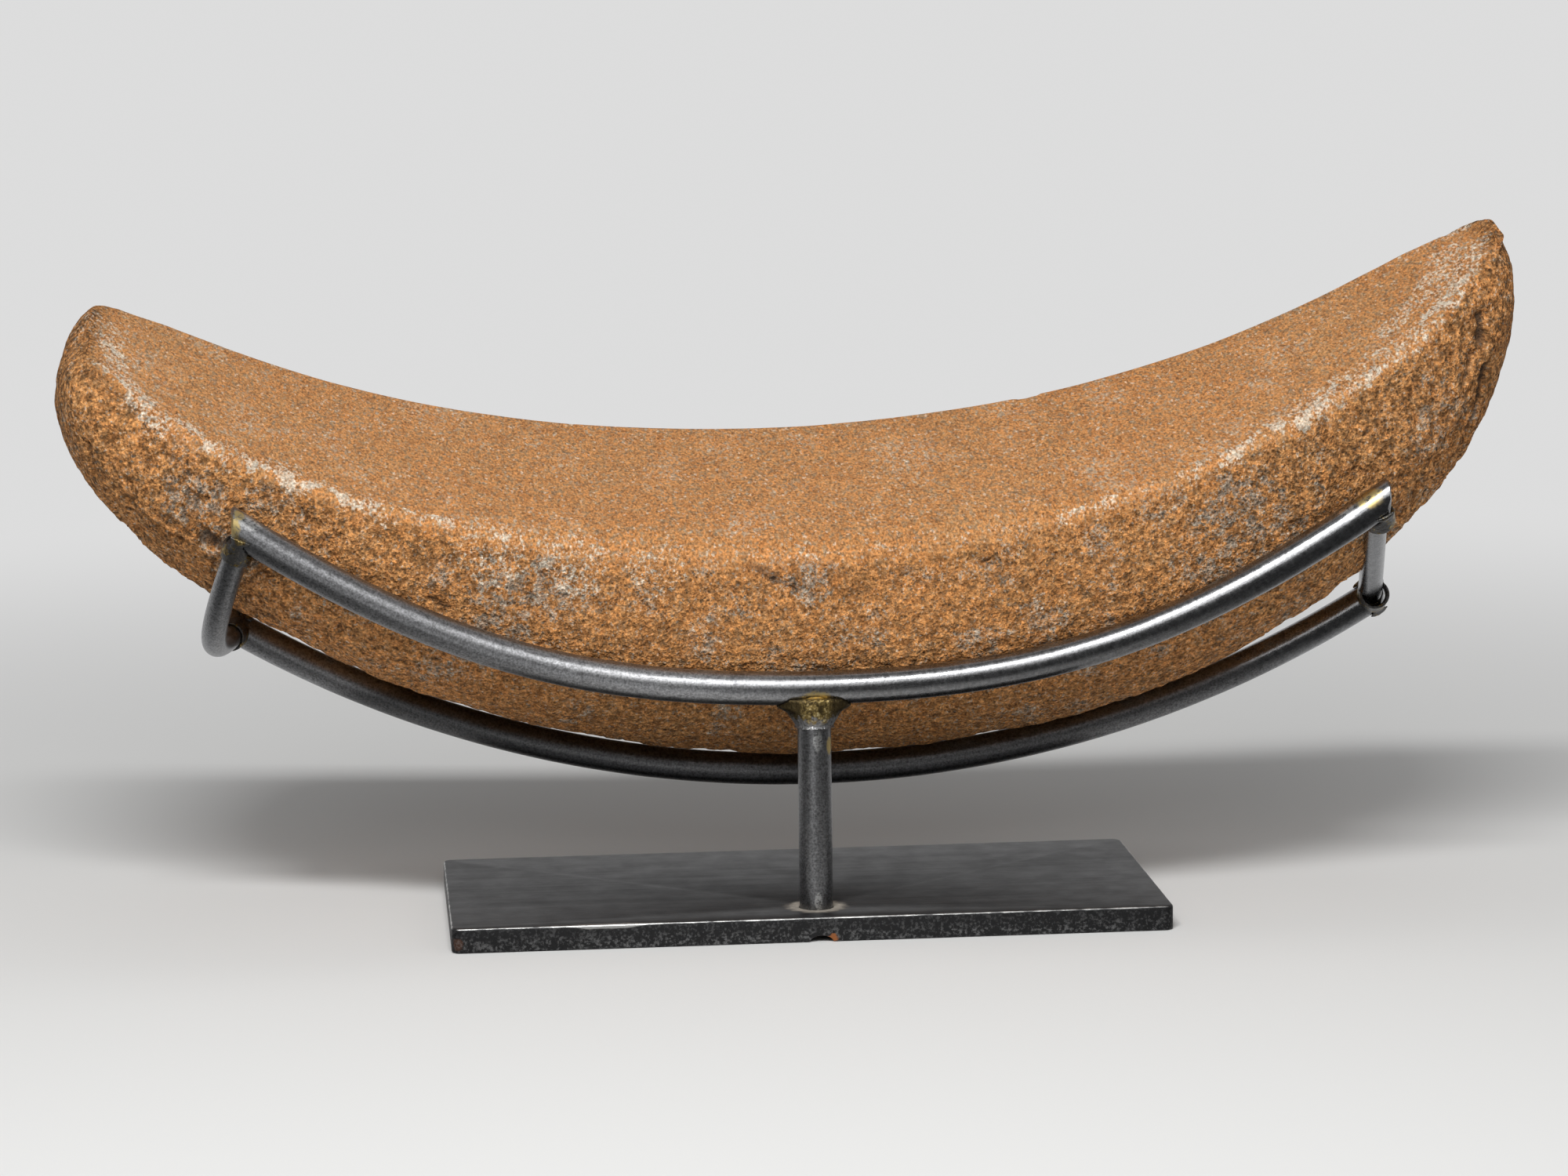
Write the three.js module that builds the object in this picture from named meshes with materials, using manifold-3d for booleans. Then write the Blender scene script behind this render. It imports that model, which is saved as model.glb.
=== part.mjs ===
import * as THREE from 'three';
import { mergeVertices } from 'three/addons/utils/BufferGeometryUtils.js';
import Module from 'manifold-3d';

// A long saddle quern stone in a brazed steel cradle, on one post and a flat base plate.
// Sizes are in millimetres. The origin is the middle of the plate's underside; +X runs along the plate,
// +Y to the back and +Z up.

const wasm = await Module();
wasm.setup();

// Gap between neighbouring pieces, and how far a cutting shape runs past what it cuts
const seatGap = 0.3;
const overrun = 2;

// Base plate
const plateLength = 273;
const plateDepth = 127;
const plateThickness = 9.5;
const plateCornerRadius = 3.5;
const plateEdgeBevel = 0.5;

// Groove ground in the plate's underside, from the weld recess out through the front edge
const grooveWidth = 9;
const grooveHeight = 2.4;

// Post, standing near the plate's front edge
const postDiameter = 12.7;
const postFromFrontEdge = 19.2;
const postOffsetX = 2.3;
const weldDepth = 4;
const weldCountersink = 3.5;
const weldRecess = 0.4;

// Cradle: two bent rails of the post's rod, and two thinner end bars bowed round the belly
const railDiameter = 12.7;
const endBarDiameter = 9.5;
const railSpacing = 85;
const frontRailBendRadius = 385.2;
const frontRailQuarterSag = 2.4;
const frontRailShortOfTip = 54.6;
const frontRailOffsetX = 1.8;
const backRailBendRadius = 434;
const backRailQuarterSag = 0;
const backRailShortOfTip = 43.6;
const backRailOffsetX = 7.2;
const endBarBowMost = 60;
const endBarBowOutwardShare = 0.45;
const endBarBowForwardShare = 0.4;
const endBarBowDownShare = 0.8;

// Brazing at the post's top and at the cradle's corners
const postBrazeHeight = 9.5;
const postBrazeFlare = 6.6;
const postBrazeWall = 1.3;
const postBrazeClimb = 2.8;
const cornerBrazeReach = 5.5;
const cornerBrazeFlare = 2.4;
const cornerBrazeToe = 0.7;

// Grinding stone: body
const stoneHalfLength = 272.6;
const stoneHalfWidth = 81.8;
const stoneThickness = 109.6;
const flankDepth = 43;
const flankDepthMostShare = 0.45;
const rimInset = 4.9;
const flankBehindFrontRail = 4.1;

// Grinding stone: the face's lengthwise curve
const hollowRadius = 589;
const endLift = 22.1;
const rightEndExtraLift = 5.3;

// Grinding stone: how each end closes in plan and in depth, as the power of the share of its length and the
// root that is taken of what is left, where a higher root is a blunter end; and how far the end reaches out
// below the face
const leftEnd = { planPower: 2.57, planRoot: 5, depthPower: 1.3, depthRoot: 2.68, splayShare: 0.032 };
const rightEnd = { planPower: 2.02, planRoot: 2.7, depthPower: 3.22, depthRoot: 2.07, splayShare: -0.163 };

// Grinding stone: how full the belly is
const bellyPower = 1.72;

// Grinding stone: how it lies in the cradle
const stoneFaceHeight = 161.6;
const stoneOffsetX = 6.8;
const stoneTilt = THREE.MathUtils.degToRad(11.06);
const stoneRoll = THREE.MathUtils.degToRad(2.01);
const stoneYaw = THREE.MathUtils.degToRad(-1.54);

// Facets
const rodSides = 16;
const railSteps = 36;
const endBarSteps = 12;
const cutterSides = 24;
const cornerSegments = 5;
const brazeSides = 20;
const brazeRings = 4;
const stationCount = 50;
const faceStrips = 6;
const flankStrips = 4;
const bellyStrips = 11;
const seatSearchFineness = 4;
const seatSearchSteps = 60;

const postRadius = postDiameter / 2;
const railRadius = railDiameter / 2;
const endBarRadius = endBarDiameter / 2;
const frontRailHalfSpan = stoneHalfLength - frontRailShortOfTip;
const backRailHalfSpan = stoneHalfLength - backRailShortOfTip;
const frontRailX = postOffsetX + frontRailOffsetX;
const backRailX = postOffsetX + backRailOffsetX;
const frontRailY = postFromFrontEdge - plateDepth / 2;
const backRailY = frontRailY + railSpacing;

const materials = {
  sandstone: { color: 0xb0713c, roughness: 0.92, metalness: 0 },
  plateSteel: { color: 0x4a4b4d, roughness: 0.5, metalness: 0.9 },
  rodSteel: { color: 0x6d7074, roughness: 0.32, metalness: 0.95 },
  braze: { color: 0xa48a3f, roughness: 0.45, metalness: 0.8 },
  weld: { color: 0x55504a, roughness: 0.6, metalness: 0.7 },
};

function makeMesh(name, geometry, finish) {
  const mesh = new THREE.Mesh(geometry, new THREE.MeshStandardMaterial(materials[finish]));
  mesh.name = name;
  return mesh;
}

// Closed solids to and from the boolean library

function toSolid(geometry) {
  const bare = geometry.clone();
  bare.deleteAttribute('normal');
  bare.deleteAttribute('uv');
  const merged = mergeVertices(bare);
  return new wasm.Manifold(new wasm.Mesh({
    numProp: 3,
    vertProperties: new Float32Array(merged.getAttribute('position').array),
    triVerts: new Uint32Array(merged.index.array),
  }));
}

function toGeometry(solid) {
  const { vertProperties, triVerts } = solid.getMesh();
  const geometry = new THREE.BufferGeometry();
  geometry.setAttribute('position', new THREE.BufferAttribute(vertProperties, 3));
  geometry.setIndex(new THREE.BufferAttribute(triVerts, 1));
  return geometry;
}

function cut(geometry, ...tools) {
  return toGeometry(tools.reduce((solid, tool) => solid.subtract(toSolid(tool)), toSolid(geometry)));
}

function largestPart(geometry) {
  const parts = toSolid(geometry).decompose();
  parts.sort((a, b) => b.volume() - a.volume());
  return toGeometry(parts[0]);
}

// The turn that lays the Y axis along a direction
function turnFromY(direction) {
  return new THREE.Quaternion().setFromUnitVectors(new THREE.Vector3(0, 1, 0), direction.clone().normalize());
}

// Straight round bar between two points
function rodBetween(start, end, radius, sides) {
  const along = new THREE.Vector3().subVectors(end, start);
  const geometry = new THREE.CylinderGeometry(radius, radius, along.length(), sides);
  geometry.applyQuaternion(turnFromY(along));
  const middle = new THREE.Vector3().addVectors(start, end).multiplyScalar(1 / 2);
  return geometry.translate(middle.x, middle.y, middle.z);
}

// Closed solid through rings of points that run the same way round, ending in a point at each end
function loftedSolid(firstTip, rings, lastTip) {
  const size = rings[0].length;
  const points = [...rings.flat(), firstTip, lastTip];
  const first = points.length - 2;
  const last = points.length - 1;
  const lastRing = (rings.length - 1) * size;
  const faces = [];
  for (let j = 0; j < size; j++) {
    const next = (j + 1) % size;
    faces.push(first, j, next, last, lastRing + next, lastRing + j);
    for (let i = 0; i < lastRing; i += size) {
      faces.push(i + j, i + size + j, i + size + next, i + j, i + size + next, i + next);
    }
  }
  const geometry = new THREE.BufferGeometry().setFromPoints(points);
  geometry.setIndex(faces);
  return geometry;
}

// Grinding stone

// The face's centre line at a share of the half length: its place, its slope and the curve's own directions
function faceLine(share) {
  const x = stoneHalfLength * share;
  const z = x * x / (2 * hollowRadius) + rightEndExtraLift * share ** 3 + endLift * share ** 4;
  const slope = x / hollowRadius
    + (3 * rightEndExtraLift * share ** 2 + 4 * endLift * share ** 3) / stoneHalfLength;
  const along = new THREE.Vector3(1, 0, slope).normalize();
  const normal = new THREE.Vector3(-along.z, 0, along.x);
  return { centre: new THREE.Vector3(x, 0, z), along, normal };
}

function endAt(share) {
  return share < 0 ? leftEnd : rightEnd;
}

// A full size, narrowed towards a blunt end
function narrowed(size, share, power, root) {
  return size * (1 - Math.abs(share) ** power) ** (1 / root);
}

// Half of a cross-section, from the rim over the bulging flank to the keel, as [across, depth] pairs
function halfSection(share, fineness) {
  const { planPower, planRoot, depthPower, depthRoot } = endAt(share);
  const halfWidth = narrowed(stoneHalfWidth, share, planPower, planRoot);
  const thickness = narrowed(stoneThickness, share, depthPower, depthRoot);
  const widestDepth = Math.min(flankDepth, flankDepthMostShare * thickness);
  const inset = rimInset * halfWidth / stoneHalfWidth;
  const points = [];
  const flankSteps = flankStrips * fineness;
  for (let i = 0; i < flankSteps; i++) {
    const down = i / flankSteps;
    points.push([halfWidth - inset * (1 - down) ** 2, widestDepth * down]);
  }
  const bellySteps = bellyStrips * fineness;
  for (let i = 0; i <= bellySteps; i++) {
    const angle = (i / bellySteps) * Math.PI / 2;
    const across = i < bellySteps ? Math.cos(angle) ** (2 / bellyPower) : 0;
    const down = Math.sin(angle) ** (2 / bellyPower);
    points.push([halfWidth * across, widestDepth + (thickness - widestDepth) * down]);
  }
  return points;
}

// Closed cross-section: over the face from the front rim to the back rim, then round the belly. The clearance
// makes it wider and deeper all round, for cutting what lies against the stone.
function sectionPoints(share, fineness, clearance = 0) {
  const half = halfSection(share, fineness).map(([across, depth], i, { length }) => (
    [across + (i < length - 1 ? clearance : 0), depth + clearance * (i > 0 ? 1 : -1)]));
  const [rimAcross, rimDepth] = half[0];
  const { centre, along, normal } = faceLine(share);
  const { splayShare } = endAt(share);
  const outline = [];
  for (let i = 0; i < faceStrips; i++) outline.push([rimAcross * (2 * i / faceStrips - 1), rimDepth]);
  outline.push(...half);
  for (const [across, depth] of half.slice(1, -1).reverse()) outline.push([-across, depth]);
  return outline.map(([across, depth]) => {
    const splay = splayShare * centre.x * depth / stoneThickness;
    return new THREE.Vector3(0, across, 0).add(centre)
      .addScaledVector(normal, -depth).addScaledVector(along, splay);
  });
}

function stationShares(count) {
  return Array.from({ length: count - 1 }, (_, i) => -Math.cos(((i + 1) / count) * Math.PI));
}

function stoneGeometry(clearance = 0) {
  const rings = stationShares(stationCount).map((share) => sectionPoints(share, 1, clearance));
  const tips = [-1, 1].map((share) => {
    const { centre, along } = faceLine(share);
    return centre.addScaledVector(along, share * clearance);
  });
  return loftedSolid(tips[0], rings, tips[1]);
}

// The front flank's foremost line lies a set distance behind the front rail's axis
function stonePlacement() {
  const bulge = stoneHalfWidth * Math.cos(stoneTilt) - flankDepth * Math.sin(stoneTilt);
  const y = frontRailY + flankBehindFrontRail + bulge;
  const turn = new THREE.Euler(stoneTilt, -stoneRoll, stoneYaw, 'ZYX');
  return { position: new THREE.Vector3(stoneOffsetX, y, stoneFaceHeight), turn };
}

// Cradle

// How far a rail's axis lies above its middle, and how steep it is, at a distance across from its middle: a
// circular arc that hangs a little lower at its quarters, where the rod is bent more sharply by hand
function railLine({ bendRadius, halfSpan, quarterSag }, across) {
  const drop = Math.sqrt(bendRadius ** 2 - across ** 2);
  const turn = Math.PI * across / halfSpan;
  const rise = bendRadius - drop - quarterSag * Math.sin(turn) ** 2;
  const slope = across / drop - quarterSag * Math.sin(2 * turn) * Math.PI / halfSpan;
  return { rise, slope };
}

// A rail's axis in its upright plane, from left to right, running on past both of its ends by a given length
class RailPath extends THREE.Curve {
  constructor(rail, height, runPast = 0) {
    super();
    this.rail = rail;
    this.height = height;
    this.reach = rail.halfSpan + runPast;
  }

  getPoint(share, target = new THREE.Vector3()) {
    return target.copy(this.pointAtX(this.rail.offsetX + this.reach * (2 * share - 1)));
  }

  pointAtX(x) {
    const { rise } = railLine(this.rail, x - this.rail.offsetX);
    return new THREE.Vector3(x, this.rail.y, this.height + rise);
  }
}

// Moves a value from far towards near until the distance that it gives is down to the reach
function approach(far, near, reach, distanceAt) {
  const step = (near - far) / seatSearchSteps;
  let clear = far;
  for (let i = 0; i < seatSearchSteps && distanceAt(clear + step) > reach; i++) clear += step;
  let touching = clear + step;
  for (let i = 0; i < seatSearchSteps; i++) {
    const middle = (clear + touching) / 2;
    if (distanceAt(middle) > reach) clear = middle;
    else touching = middle;
  }
  return clear;
}

// The rail is raised from the plate until it just touches the stone
function seatedRail(rail, stonePoints) {
  const facing = stonePoints.filter(({ x }) => Math.abs(x - rail.offsetX) < rail.halfSpan);
  const places = facing.map(({ x, y, z }) => {
    const { rise, slope } = railLine(rail, x - rail.offsetX);
    return { above: z - rise, behind: y - rail.y, flatness: 1 / Math.hypot(1, slope) };
  });
  const distanceAt = (height) => places.reduce((least, { above, behind, flatness }) => (
    Math.min(least, Math.hypot((above - height) * flatness, behind))), Infinity);
  return new RailPath(rail, approach(plateThickness, stoneFaceHeight, railRadius + seatGap, distanceAt));
}

function circleShape(radius, sides) {
  const shape = new THREE.Shape();
  for (let i = 0; i < sides; i++) {
    const angle = ((i + 1 / 2) / sides) * 2 * Math.PI;
    const [x, y] = [radius * Math.cos(angle), radius * Math.sin(angle)];
    if (i === 0) shape.moveTo(x, y);
    else shape.lineTo(x, y);
  }
  return shape;
}

function sweptRod(path, radius, sides, steps) {
  return new THREE.ExtrudeGeometry(circleShape(radius, sides), { steps, extrudePath: path });
}

// The bent rod, longer than needed, cut off upright at both ends
function railGeometry({ rail, height }) {
  const longPath = new RailPath(rail, height, railDiameter);
  const rod = toSolid(sweptRod(longPath, railRadius, rodSides, railSteps));
  const tall = 2 * rail.bendRadius;
  const window = new THREE.BoxGeometry(2 * rail.halfSpan, railDiameter + overrun, tall);
  window.translate(rail.offsetX, rail.y, height + rail.bendRadius - railDiameter);
  return toGeometry(rod.intersect(toSolid(window)));
}

function railCutter({ rail, height }) {
  return sweptRod(new RailPath(rail, height, railDiameter), railRadius + seatGap, cutterSides, railSteps);
}

// Axis of an end bar between the rails, bowed out by a given height; its outer side is flush with their ends
function endBarPath(side, cradle, bow) {
  const front = cradle.front.pointAtX(frontRailX + side * (frontRailHalfSpan - endBarRadius));
  const back = cradle.back.pointAtX(backRailX + side * (backRailHalfSpan - endBarRadius));
  const bowed = new THREE.Vector3(side * endBarBowOutwardShare, -endBarBowForwardShare, -endBarBowDownShare);
  const control = new THREE.Vector3().addVectors(front, back).multiplyScalar(1 / 2);
  control.addScaledVector(bowed.normalize(), 2 * bow);
  return new THREE.QuadraticBezierCurve3(front, control, back);
}

function pathToStone(path, stonePoints) {
  const samples = path.getPoints(endBarSteps * seatSearchFineness);
  return Math.min(...samples.map((sample) => stonePoints.reduce(
    (least, point) => Math.min(least, point.distanceTo(sample)), Infinity)));
}

// The bar's bow is let in until it just touches the stone's belly
function seatedEndBar(side, cradle, stonePoints) {
  const { x } = cradle.front.pointAtX(frontRailX + side * frontRailHalfSpan);
  const nearby = stonePoints.filter((point) => Math.abs(point.x - x) < endBarBowMost);
  const distanceAt = (bow) => pathToStone(endBarPath(side, cradle, bow), nearby);
  return endBarPath(side, cradle, approach(endBarBowMost, 0, endBarRadius + seatGap, distanceAt));
}

function endBarGeometry(path, cutters) {
  return largestPart(cut(sweptRod(path, endBarRadius, rodSides, endBarSteps), cutters.front, cutters.back));
}

// Brazing and welds

// How far a fillet has spread, as a share of its flare, at a share of its height: a hollow quarter circle
function hollowSpread(rise) {
  return 1 - Math.sqrt(1 - rise * rise);
}

// A collar that follows the end of a bar and widens towards the rail that the bar meets. It is coped to the
// rail and trimmed clear of the stone.
function cornerBrazeGeometry(barPath, atEnd, railCut, stoneCut) {
  const lengthShare = (railRadius + cornerBrazeReach) / barPath.getLength();
  const across = new THREE.Vector3().crossVectors(barPath.getTangent(0), barPath.getTangent(1)).normalize();
  const places = Array.from({ length: brazeRings + 1 }, (_, i) => {
    const fromRail = lengthShare * (1 - i / brazeRings);
    const share = atEnd ? 1 - fromRail : fromRail;
    return { centre: barPath.getPointAt(share), tangent: barPath.getTangentAt(share) };
  });
  const rings = places.map(({ centre, tangent }, i) => {
    const side = new THREE.Vector3().crossVectors(tangent, across).multiplyScalar(atEnd ? 1 : -1);
    const spread = cornerBrazeFlare * hollowSpread(i / brazeRings);
    const radius = endBarRadius + seatGap + cornerBrazeToe + spread;
    return Array.from({ length: brazeSides }, (_, j) => {
      const angle = (j / brazeSides) * 2 * Math.PI;
      return centre.clone().addScaledVector(side, radius * Math.cos(angle))
        .addScaledVector(across, radius * Math.sin(angle));
    });
  });
  const collar = loftedSolid(places[0].centre, rings, places[brazeRings].centre);
  const barCut = sweptRod(barPath, endBarRadius + seatGap, cutterSides, endBarSteps);
  return largestPart(cut(collar, railCut, barCut, stoneCut));
}

// The fillet round the post's top. It widens to both sides along the rail up to the rail's underside, and
// climbs a little way up the rail's front and back.
function postBrazeGeometry(cradle, cutter) {
  const underside = cradle.front.pointAtX(postOffsetX).z - railRadius;
  const inner = postRadius + seatGap;
  const outer = inner + postBrazeWall;
  const top = postBrazeHeight + postBrazeClimb;
  const outside = Array.from({ length: brazeRings + 1 }, (_, i) => (
    new THREE.Vector2(outer, postBrazeHeight * i / brazeRings)));
  const profile = [new THREE.Vector2(inner, 0), ...outside,
    new THREE.Vector2(outer, top), new THREE.Vector2(inner, top), new THREE.Vector2(inner, 0)];
  const collar = new THREE.LatheGeometry(profile, brazeSides).rotateX(Math.PI / 2);
  const places = collar.getAttribute('position');
  for (let i = 0; i < places.count; i++) {
    const [x, y, z] = [places.getX(i), places.getY(i), places.getZ(i)];
    const onOutside = Math.hypot(x, y) > (inner + outer) / 2;
    const spread = onOutside ? hollowSpread(Math.min(1, z / postBrazeHeight)) : 0;
    places.setX(i, x * (1 + postBrazeFlare * spread / outer));
  }
  collar.translate(postOffsetX, frontRailY, underside - postBrazeHeight);
  return largestPart(cut(collar, cutter));
}

// Plug under the post's lower end, filling the countersink in the plate's underside
function footWeldGeometry() {
  const top = weldDepth - seatGap;
  const wide = postRadius + weldCountersink;
  const slope = weldCountersink / weldDepth;
  const profile = [
    new THREE.Vector2(0, weldRecess),
    new THREE.Vector2(wide - slope * weldRecess, weldRecess),
    new THREE.Vector2(wide - slope * top, top),
    new THREE.Vector2(0, top),
  ];
  return new THREE.LatheGeometry(profile, brazeSides).rotateX(Math.PI / 2)
    .translate(postOffsetX, frontRailY, 0);
}

// Post and plate

function postGeometry(cradle, cutter) {
  const foot = new THREE.Vector3(postOffsetX, frontRailY, weldDepth);
  return largestPart(cut(rodBetween(foot, cradle.front.pointAtX(postOffsetX), postRadius, rodSides), cutter));
}

function plateOutline() {
  const [x, y] = [plateLength / 2 - plateEdgeBevel, plateDepth / 2 - plateEdgeBevel];
  const radius = plateCornerRadius - plateEdgeBevel;
  const shape = new THREE.Shape();
  shape.absarc(x - radius, y - radius, radius, 0, Math.PI / 2);
  shape.absarc(radius - x, y - radius, radius, Math.PI / 2, Math.PI);
  shape.absarc(radius - x, radius - y, radius, Math.PI, 3 * Math.PI / 2);
  shape.absarc(x - radius, radius - y, radius, 3 * Math.PI / 2, 2 * Math.PI);
  return shape;
}

function plateGeometry() {
  const slab = new THREE.ExtrudeGeometry(plateOutline(), {
    depth: plateThickness - 2 * plateEdgeBevel,
    bevelThickness: plateEdgeBevel,
    bevelSize: plateEdgeBevel,
    bevelSegments: 1,
    curveSegments: cornerSegments,
  }).translate(0, 0, plateEdgeBevel);
  const boreRadius = postRadius + seatGap;
  const bore = new THREE.CylinderGeometry(boreRadius, boreRadius, plateThickness + overrun, cutterSides);
  bore.rotateX(Math.PI / 2).translate(postOffsetX, frontRailY, plateThickness / 2);
  const slope = weldCountersink / weldDepth;
  const wide = boreRadius + weldCountersink;
  const countersink = new THREE.LatheGeometry([
    new THREE.Vector2(0, -overrun),
    new THREE.Vector2(wide + slope * overrun, -overrun),
    new THREE.Vector2(wide - weldCountersink, weldDepth),
    new THREE.Vector2(0, weldDepth),
  ], cutterSides).rotateX(Math.PI / 2).translate(postOffsetX, frontRailY, 0);
  const grooveRadius = grooveWidth / 2;
  const grooveLength = postFromFrontEdge + overrun;
  const groove = new THREE.CylinderGeometry(grooveRadius, grooveRadius, grooveLength, cutterSides);
  groove.scale(1, 1, grooveHeight / grooveRadius);
  groove.translate(postOffsetX, frontRailY - grooveLength / 2, 0);
  return cut(slab, bore, countersink, groove);
}

// Assembly

const frontRail = {
  bendRadius: frontRailBendRadius,
  quarterSag: frontRailQuarterSag,
  halfSpan: frontRailHalfSpan,
  offsetX: frontRailX,
  y: frontRailY,
};
const backRail = {
  bendRadius: backRailBendRadius,
  quarterSag: backRailQuarterSag,
  halfSpan: backRailHalfSpan,
  offsetX: backRailX,
  y: backRailY,
};

const stone = makeMesh('grinding_stone', stoneGeometry(), 'sandstone');
const placement = stonePlacement();
stone.position.copy(placement.position);
stone.rotation.copy(placement.turn);
stone.updateMatrix();
const stonePoints = stationShares(stationCount * seatSearchFineness)
  .flatMap((share) => sectionPoints(share, seatSearchFineness))
  .map((point) => point.applyMatrix4(stone.matrix));

const cradle = { front: seatedRail(frontRail, stonePoints), back: seatedRail(backRail, stonePoints) };
const cutters = { front: railCutter(cradle.front), back: railCutter(cradle.back) };

const stoneCut = stoneGeometry(seatGap).applyMatrix4(stone.matrix);

const stand = new THREE.Group();
stand.add(
  makeMesh('base_plate', plateGeometry(), 'plateSteel'),
  makeMesh('post', postGeometry(cradle, cutters.front), 'rodSteel'),
  makeMesh('front_rail', railGeometry(cradle.front), 'rodSteel'),
  makeMesh('back_rail', railGeometry(cradle.back), 'rodSteel'),
  makeMesh('post_top_braze', postBrazeGeometry(cradle, cutters.front), 'braze'),
  makeMesh('post_foot_weld', footWeldGeometry(), 'weld'),
);
for (const [side, name] of [[-1, 'left'], [1, 'right']]) {
  const path = seatedEndBar(side, cradle, stonePoints);
  stand.add(
    makeMesh(`${name}_end_bar`, endBarGeometry(path, cutters), 'rodSteel'),
    makeMesh(`front_${name}_braze`, cornerBrazeGeometry(path, false, cutters.front, stoneCut), 'braze'),
    makeMesh(`back_${name}_braze`, cornerBrazeGeometry(path, true, cutters.back, stoneCut), 'braze'),
  );
}

const mill = new THREE.Group();
mill.add(stand, stone);

export default mill;
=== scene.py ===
"""Looks of a long saddle quern stone in a brazed round-bar cradle on a post and a flat steel plate.

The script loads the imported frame, builds each visible piece round it and dresses it with procedural
materials. Everything is in metres, in the frame's own axes: +X along the plate, +Y to the back and +Z up. The
origin is the middle of the plate's underside.
"""

from __future__ import annotations

import logging
import math
from dataclasses import dataclass, fields
from enum import Enum
from typing import Any, Callable, Iterable, Optional, Sequence, Union

import bmesh
import bpy
from mathutils import Euler, Matrix, Vector

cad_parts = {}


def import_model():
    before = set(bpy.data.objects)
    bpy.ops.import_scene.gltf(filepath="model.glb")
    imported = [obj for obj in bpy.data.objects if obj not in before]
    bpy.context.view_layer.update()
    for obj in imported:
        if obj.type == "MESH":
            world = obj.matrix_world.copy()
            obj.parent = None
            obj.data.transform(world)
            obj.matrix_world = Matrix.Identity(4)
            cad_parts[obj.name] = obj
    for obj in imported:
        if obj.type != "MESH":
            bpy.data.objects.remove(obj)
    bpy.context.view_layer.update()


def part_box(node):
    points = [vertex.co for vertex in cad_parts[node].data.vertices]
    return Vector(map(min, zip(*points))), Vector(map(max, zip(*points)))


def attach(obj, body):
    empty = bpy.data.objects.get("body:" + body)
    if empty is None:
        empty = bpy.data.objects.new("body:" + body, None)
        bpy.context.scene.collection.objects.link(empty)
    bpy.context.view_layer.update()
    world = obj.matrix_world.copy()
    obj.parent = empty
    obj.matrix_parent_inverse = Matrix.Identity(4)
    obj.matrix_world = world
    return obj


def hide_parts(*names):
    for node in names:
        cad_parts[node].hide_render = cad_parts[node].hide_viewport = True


log = logging.getLogger("grinding_mill")

MILLIMETRE = 0.001
SMOOTH_ALL_ROUND = math.radians(180)
Colour = tuple[float, float, float]
Triple = tuple[float, float, float]


class Body(Enum):
    """The two rigid bodies of the frame."""

    STAND = "stand"
    STONE = "stone"


class Slot(Enum):
    """The record's material slots."""

    SANDSTONE = "sandstone"
    PLATE_STEEL = "plate_steel"
    ROD_STEEL = "rod_steel"
    BRAZE = "braze"
    WELD = "weld"


class Side(Enum):
    """The two ends of the cradle, as signs along X."""

    LEFT = -1
    RIGHT = 1

    @property
    def word(self) -> str:
        """The side's name as it stands in node names."""
        return self.name.lower()


# Node trees written as arithmetic


def maths_method(operation: str, swapped: bool = False) -> Callable[..., Term]:
    """Makes a method of a term that writes one Math node.

    Args:
        operation: the node's operation.
        swapped: whether the term comes after the other value, as with a number in front of it.

    Returns:
        The method. It takes the other value, where the operation has one.
    """

    def method(term: Term, *other: Number) -> Term:
        """Writes the node into the term's tree."""
        return term.script.maths(operation, *((*other, term) if swapped else (term, *other)))

    return method


class Term:
    """A value that flows through a node tree and takes the usual arithmetic.

    Least and most give the smaller and the larger of two values, size gives the value without its sign, and
    above gives one where the value is larger than the other, else zero.
    """

    __add__ = __radd__ = maths_method("ADD")
    __mul__ = __rmul__ = maths_method("MULTIPLY")
    __sub__, __rsub__ = maths_method("SUBTRACT"), maths_method("SUBTRACT", swapped=True)
    __truediv__, __rtruediv__ = maths_method("DIVIDE"), maths_method("DIVIDE", swapped=True)
    __pow__, above = maths_method("POWER"), maths_method("GREATER_THAN")
    least, most = maths_method("MINIMUM"), maths_method("MAXIMUM")
    size, sign = maths_method("ABSOLUTE"), maths_method("SIGN")
    sine, cosine = maths_method("SINE"), maths_method("COSINE")

    def __init__(self, script: NodeScript, socket: bpy.types.NodeSocket) -> None:
        """Wraps an output socket of the script's tree."""
        self.script = script
        self.socket = socket

    def __neg__(self) -> Term:
        """Negative."""
        return self * -1.0

    def ramp(self, low: Number, high: Number) -> Term:
        """Smooth step from zero at low to one at high. Low may be the larger of the two."""
        inputs = {0: self, 1: low, 2: high}
        return self.script.term("ShaderNodeMapRange", inputs, interpolation_type="SMOOTHSTEP")

    def between(self, low: Number, high: Number) -> Term:
        """Straight line from low at zero to high at one."""
        return low + self * (high - low)


Number = Union[float, Term]


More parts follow.
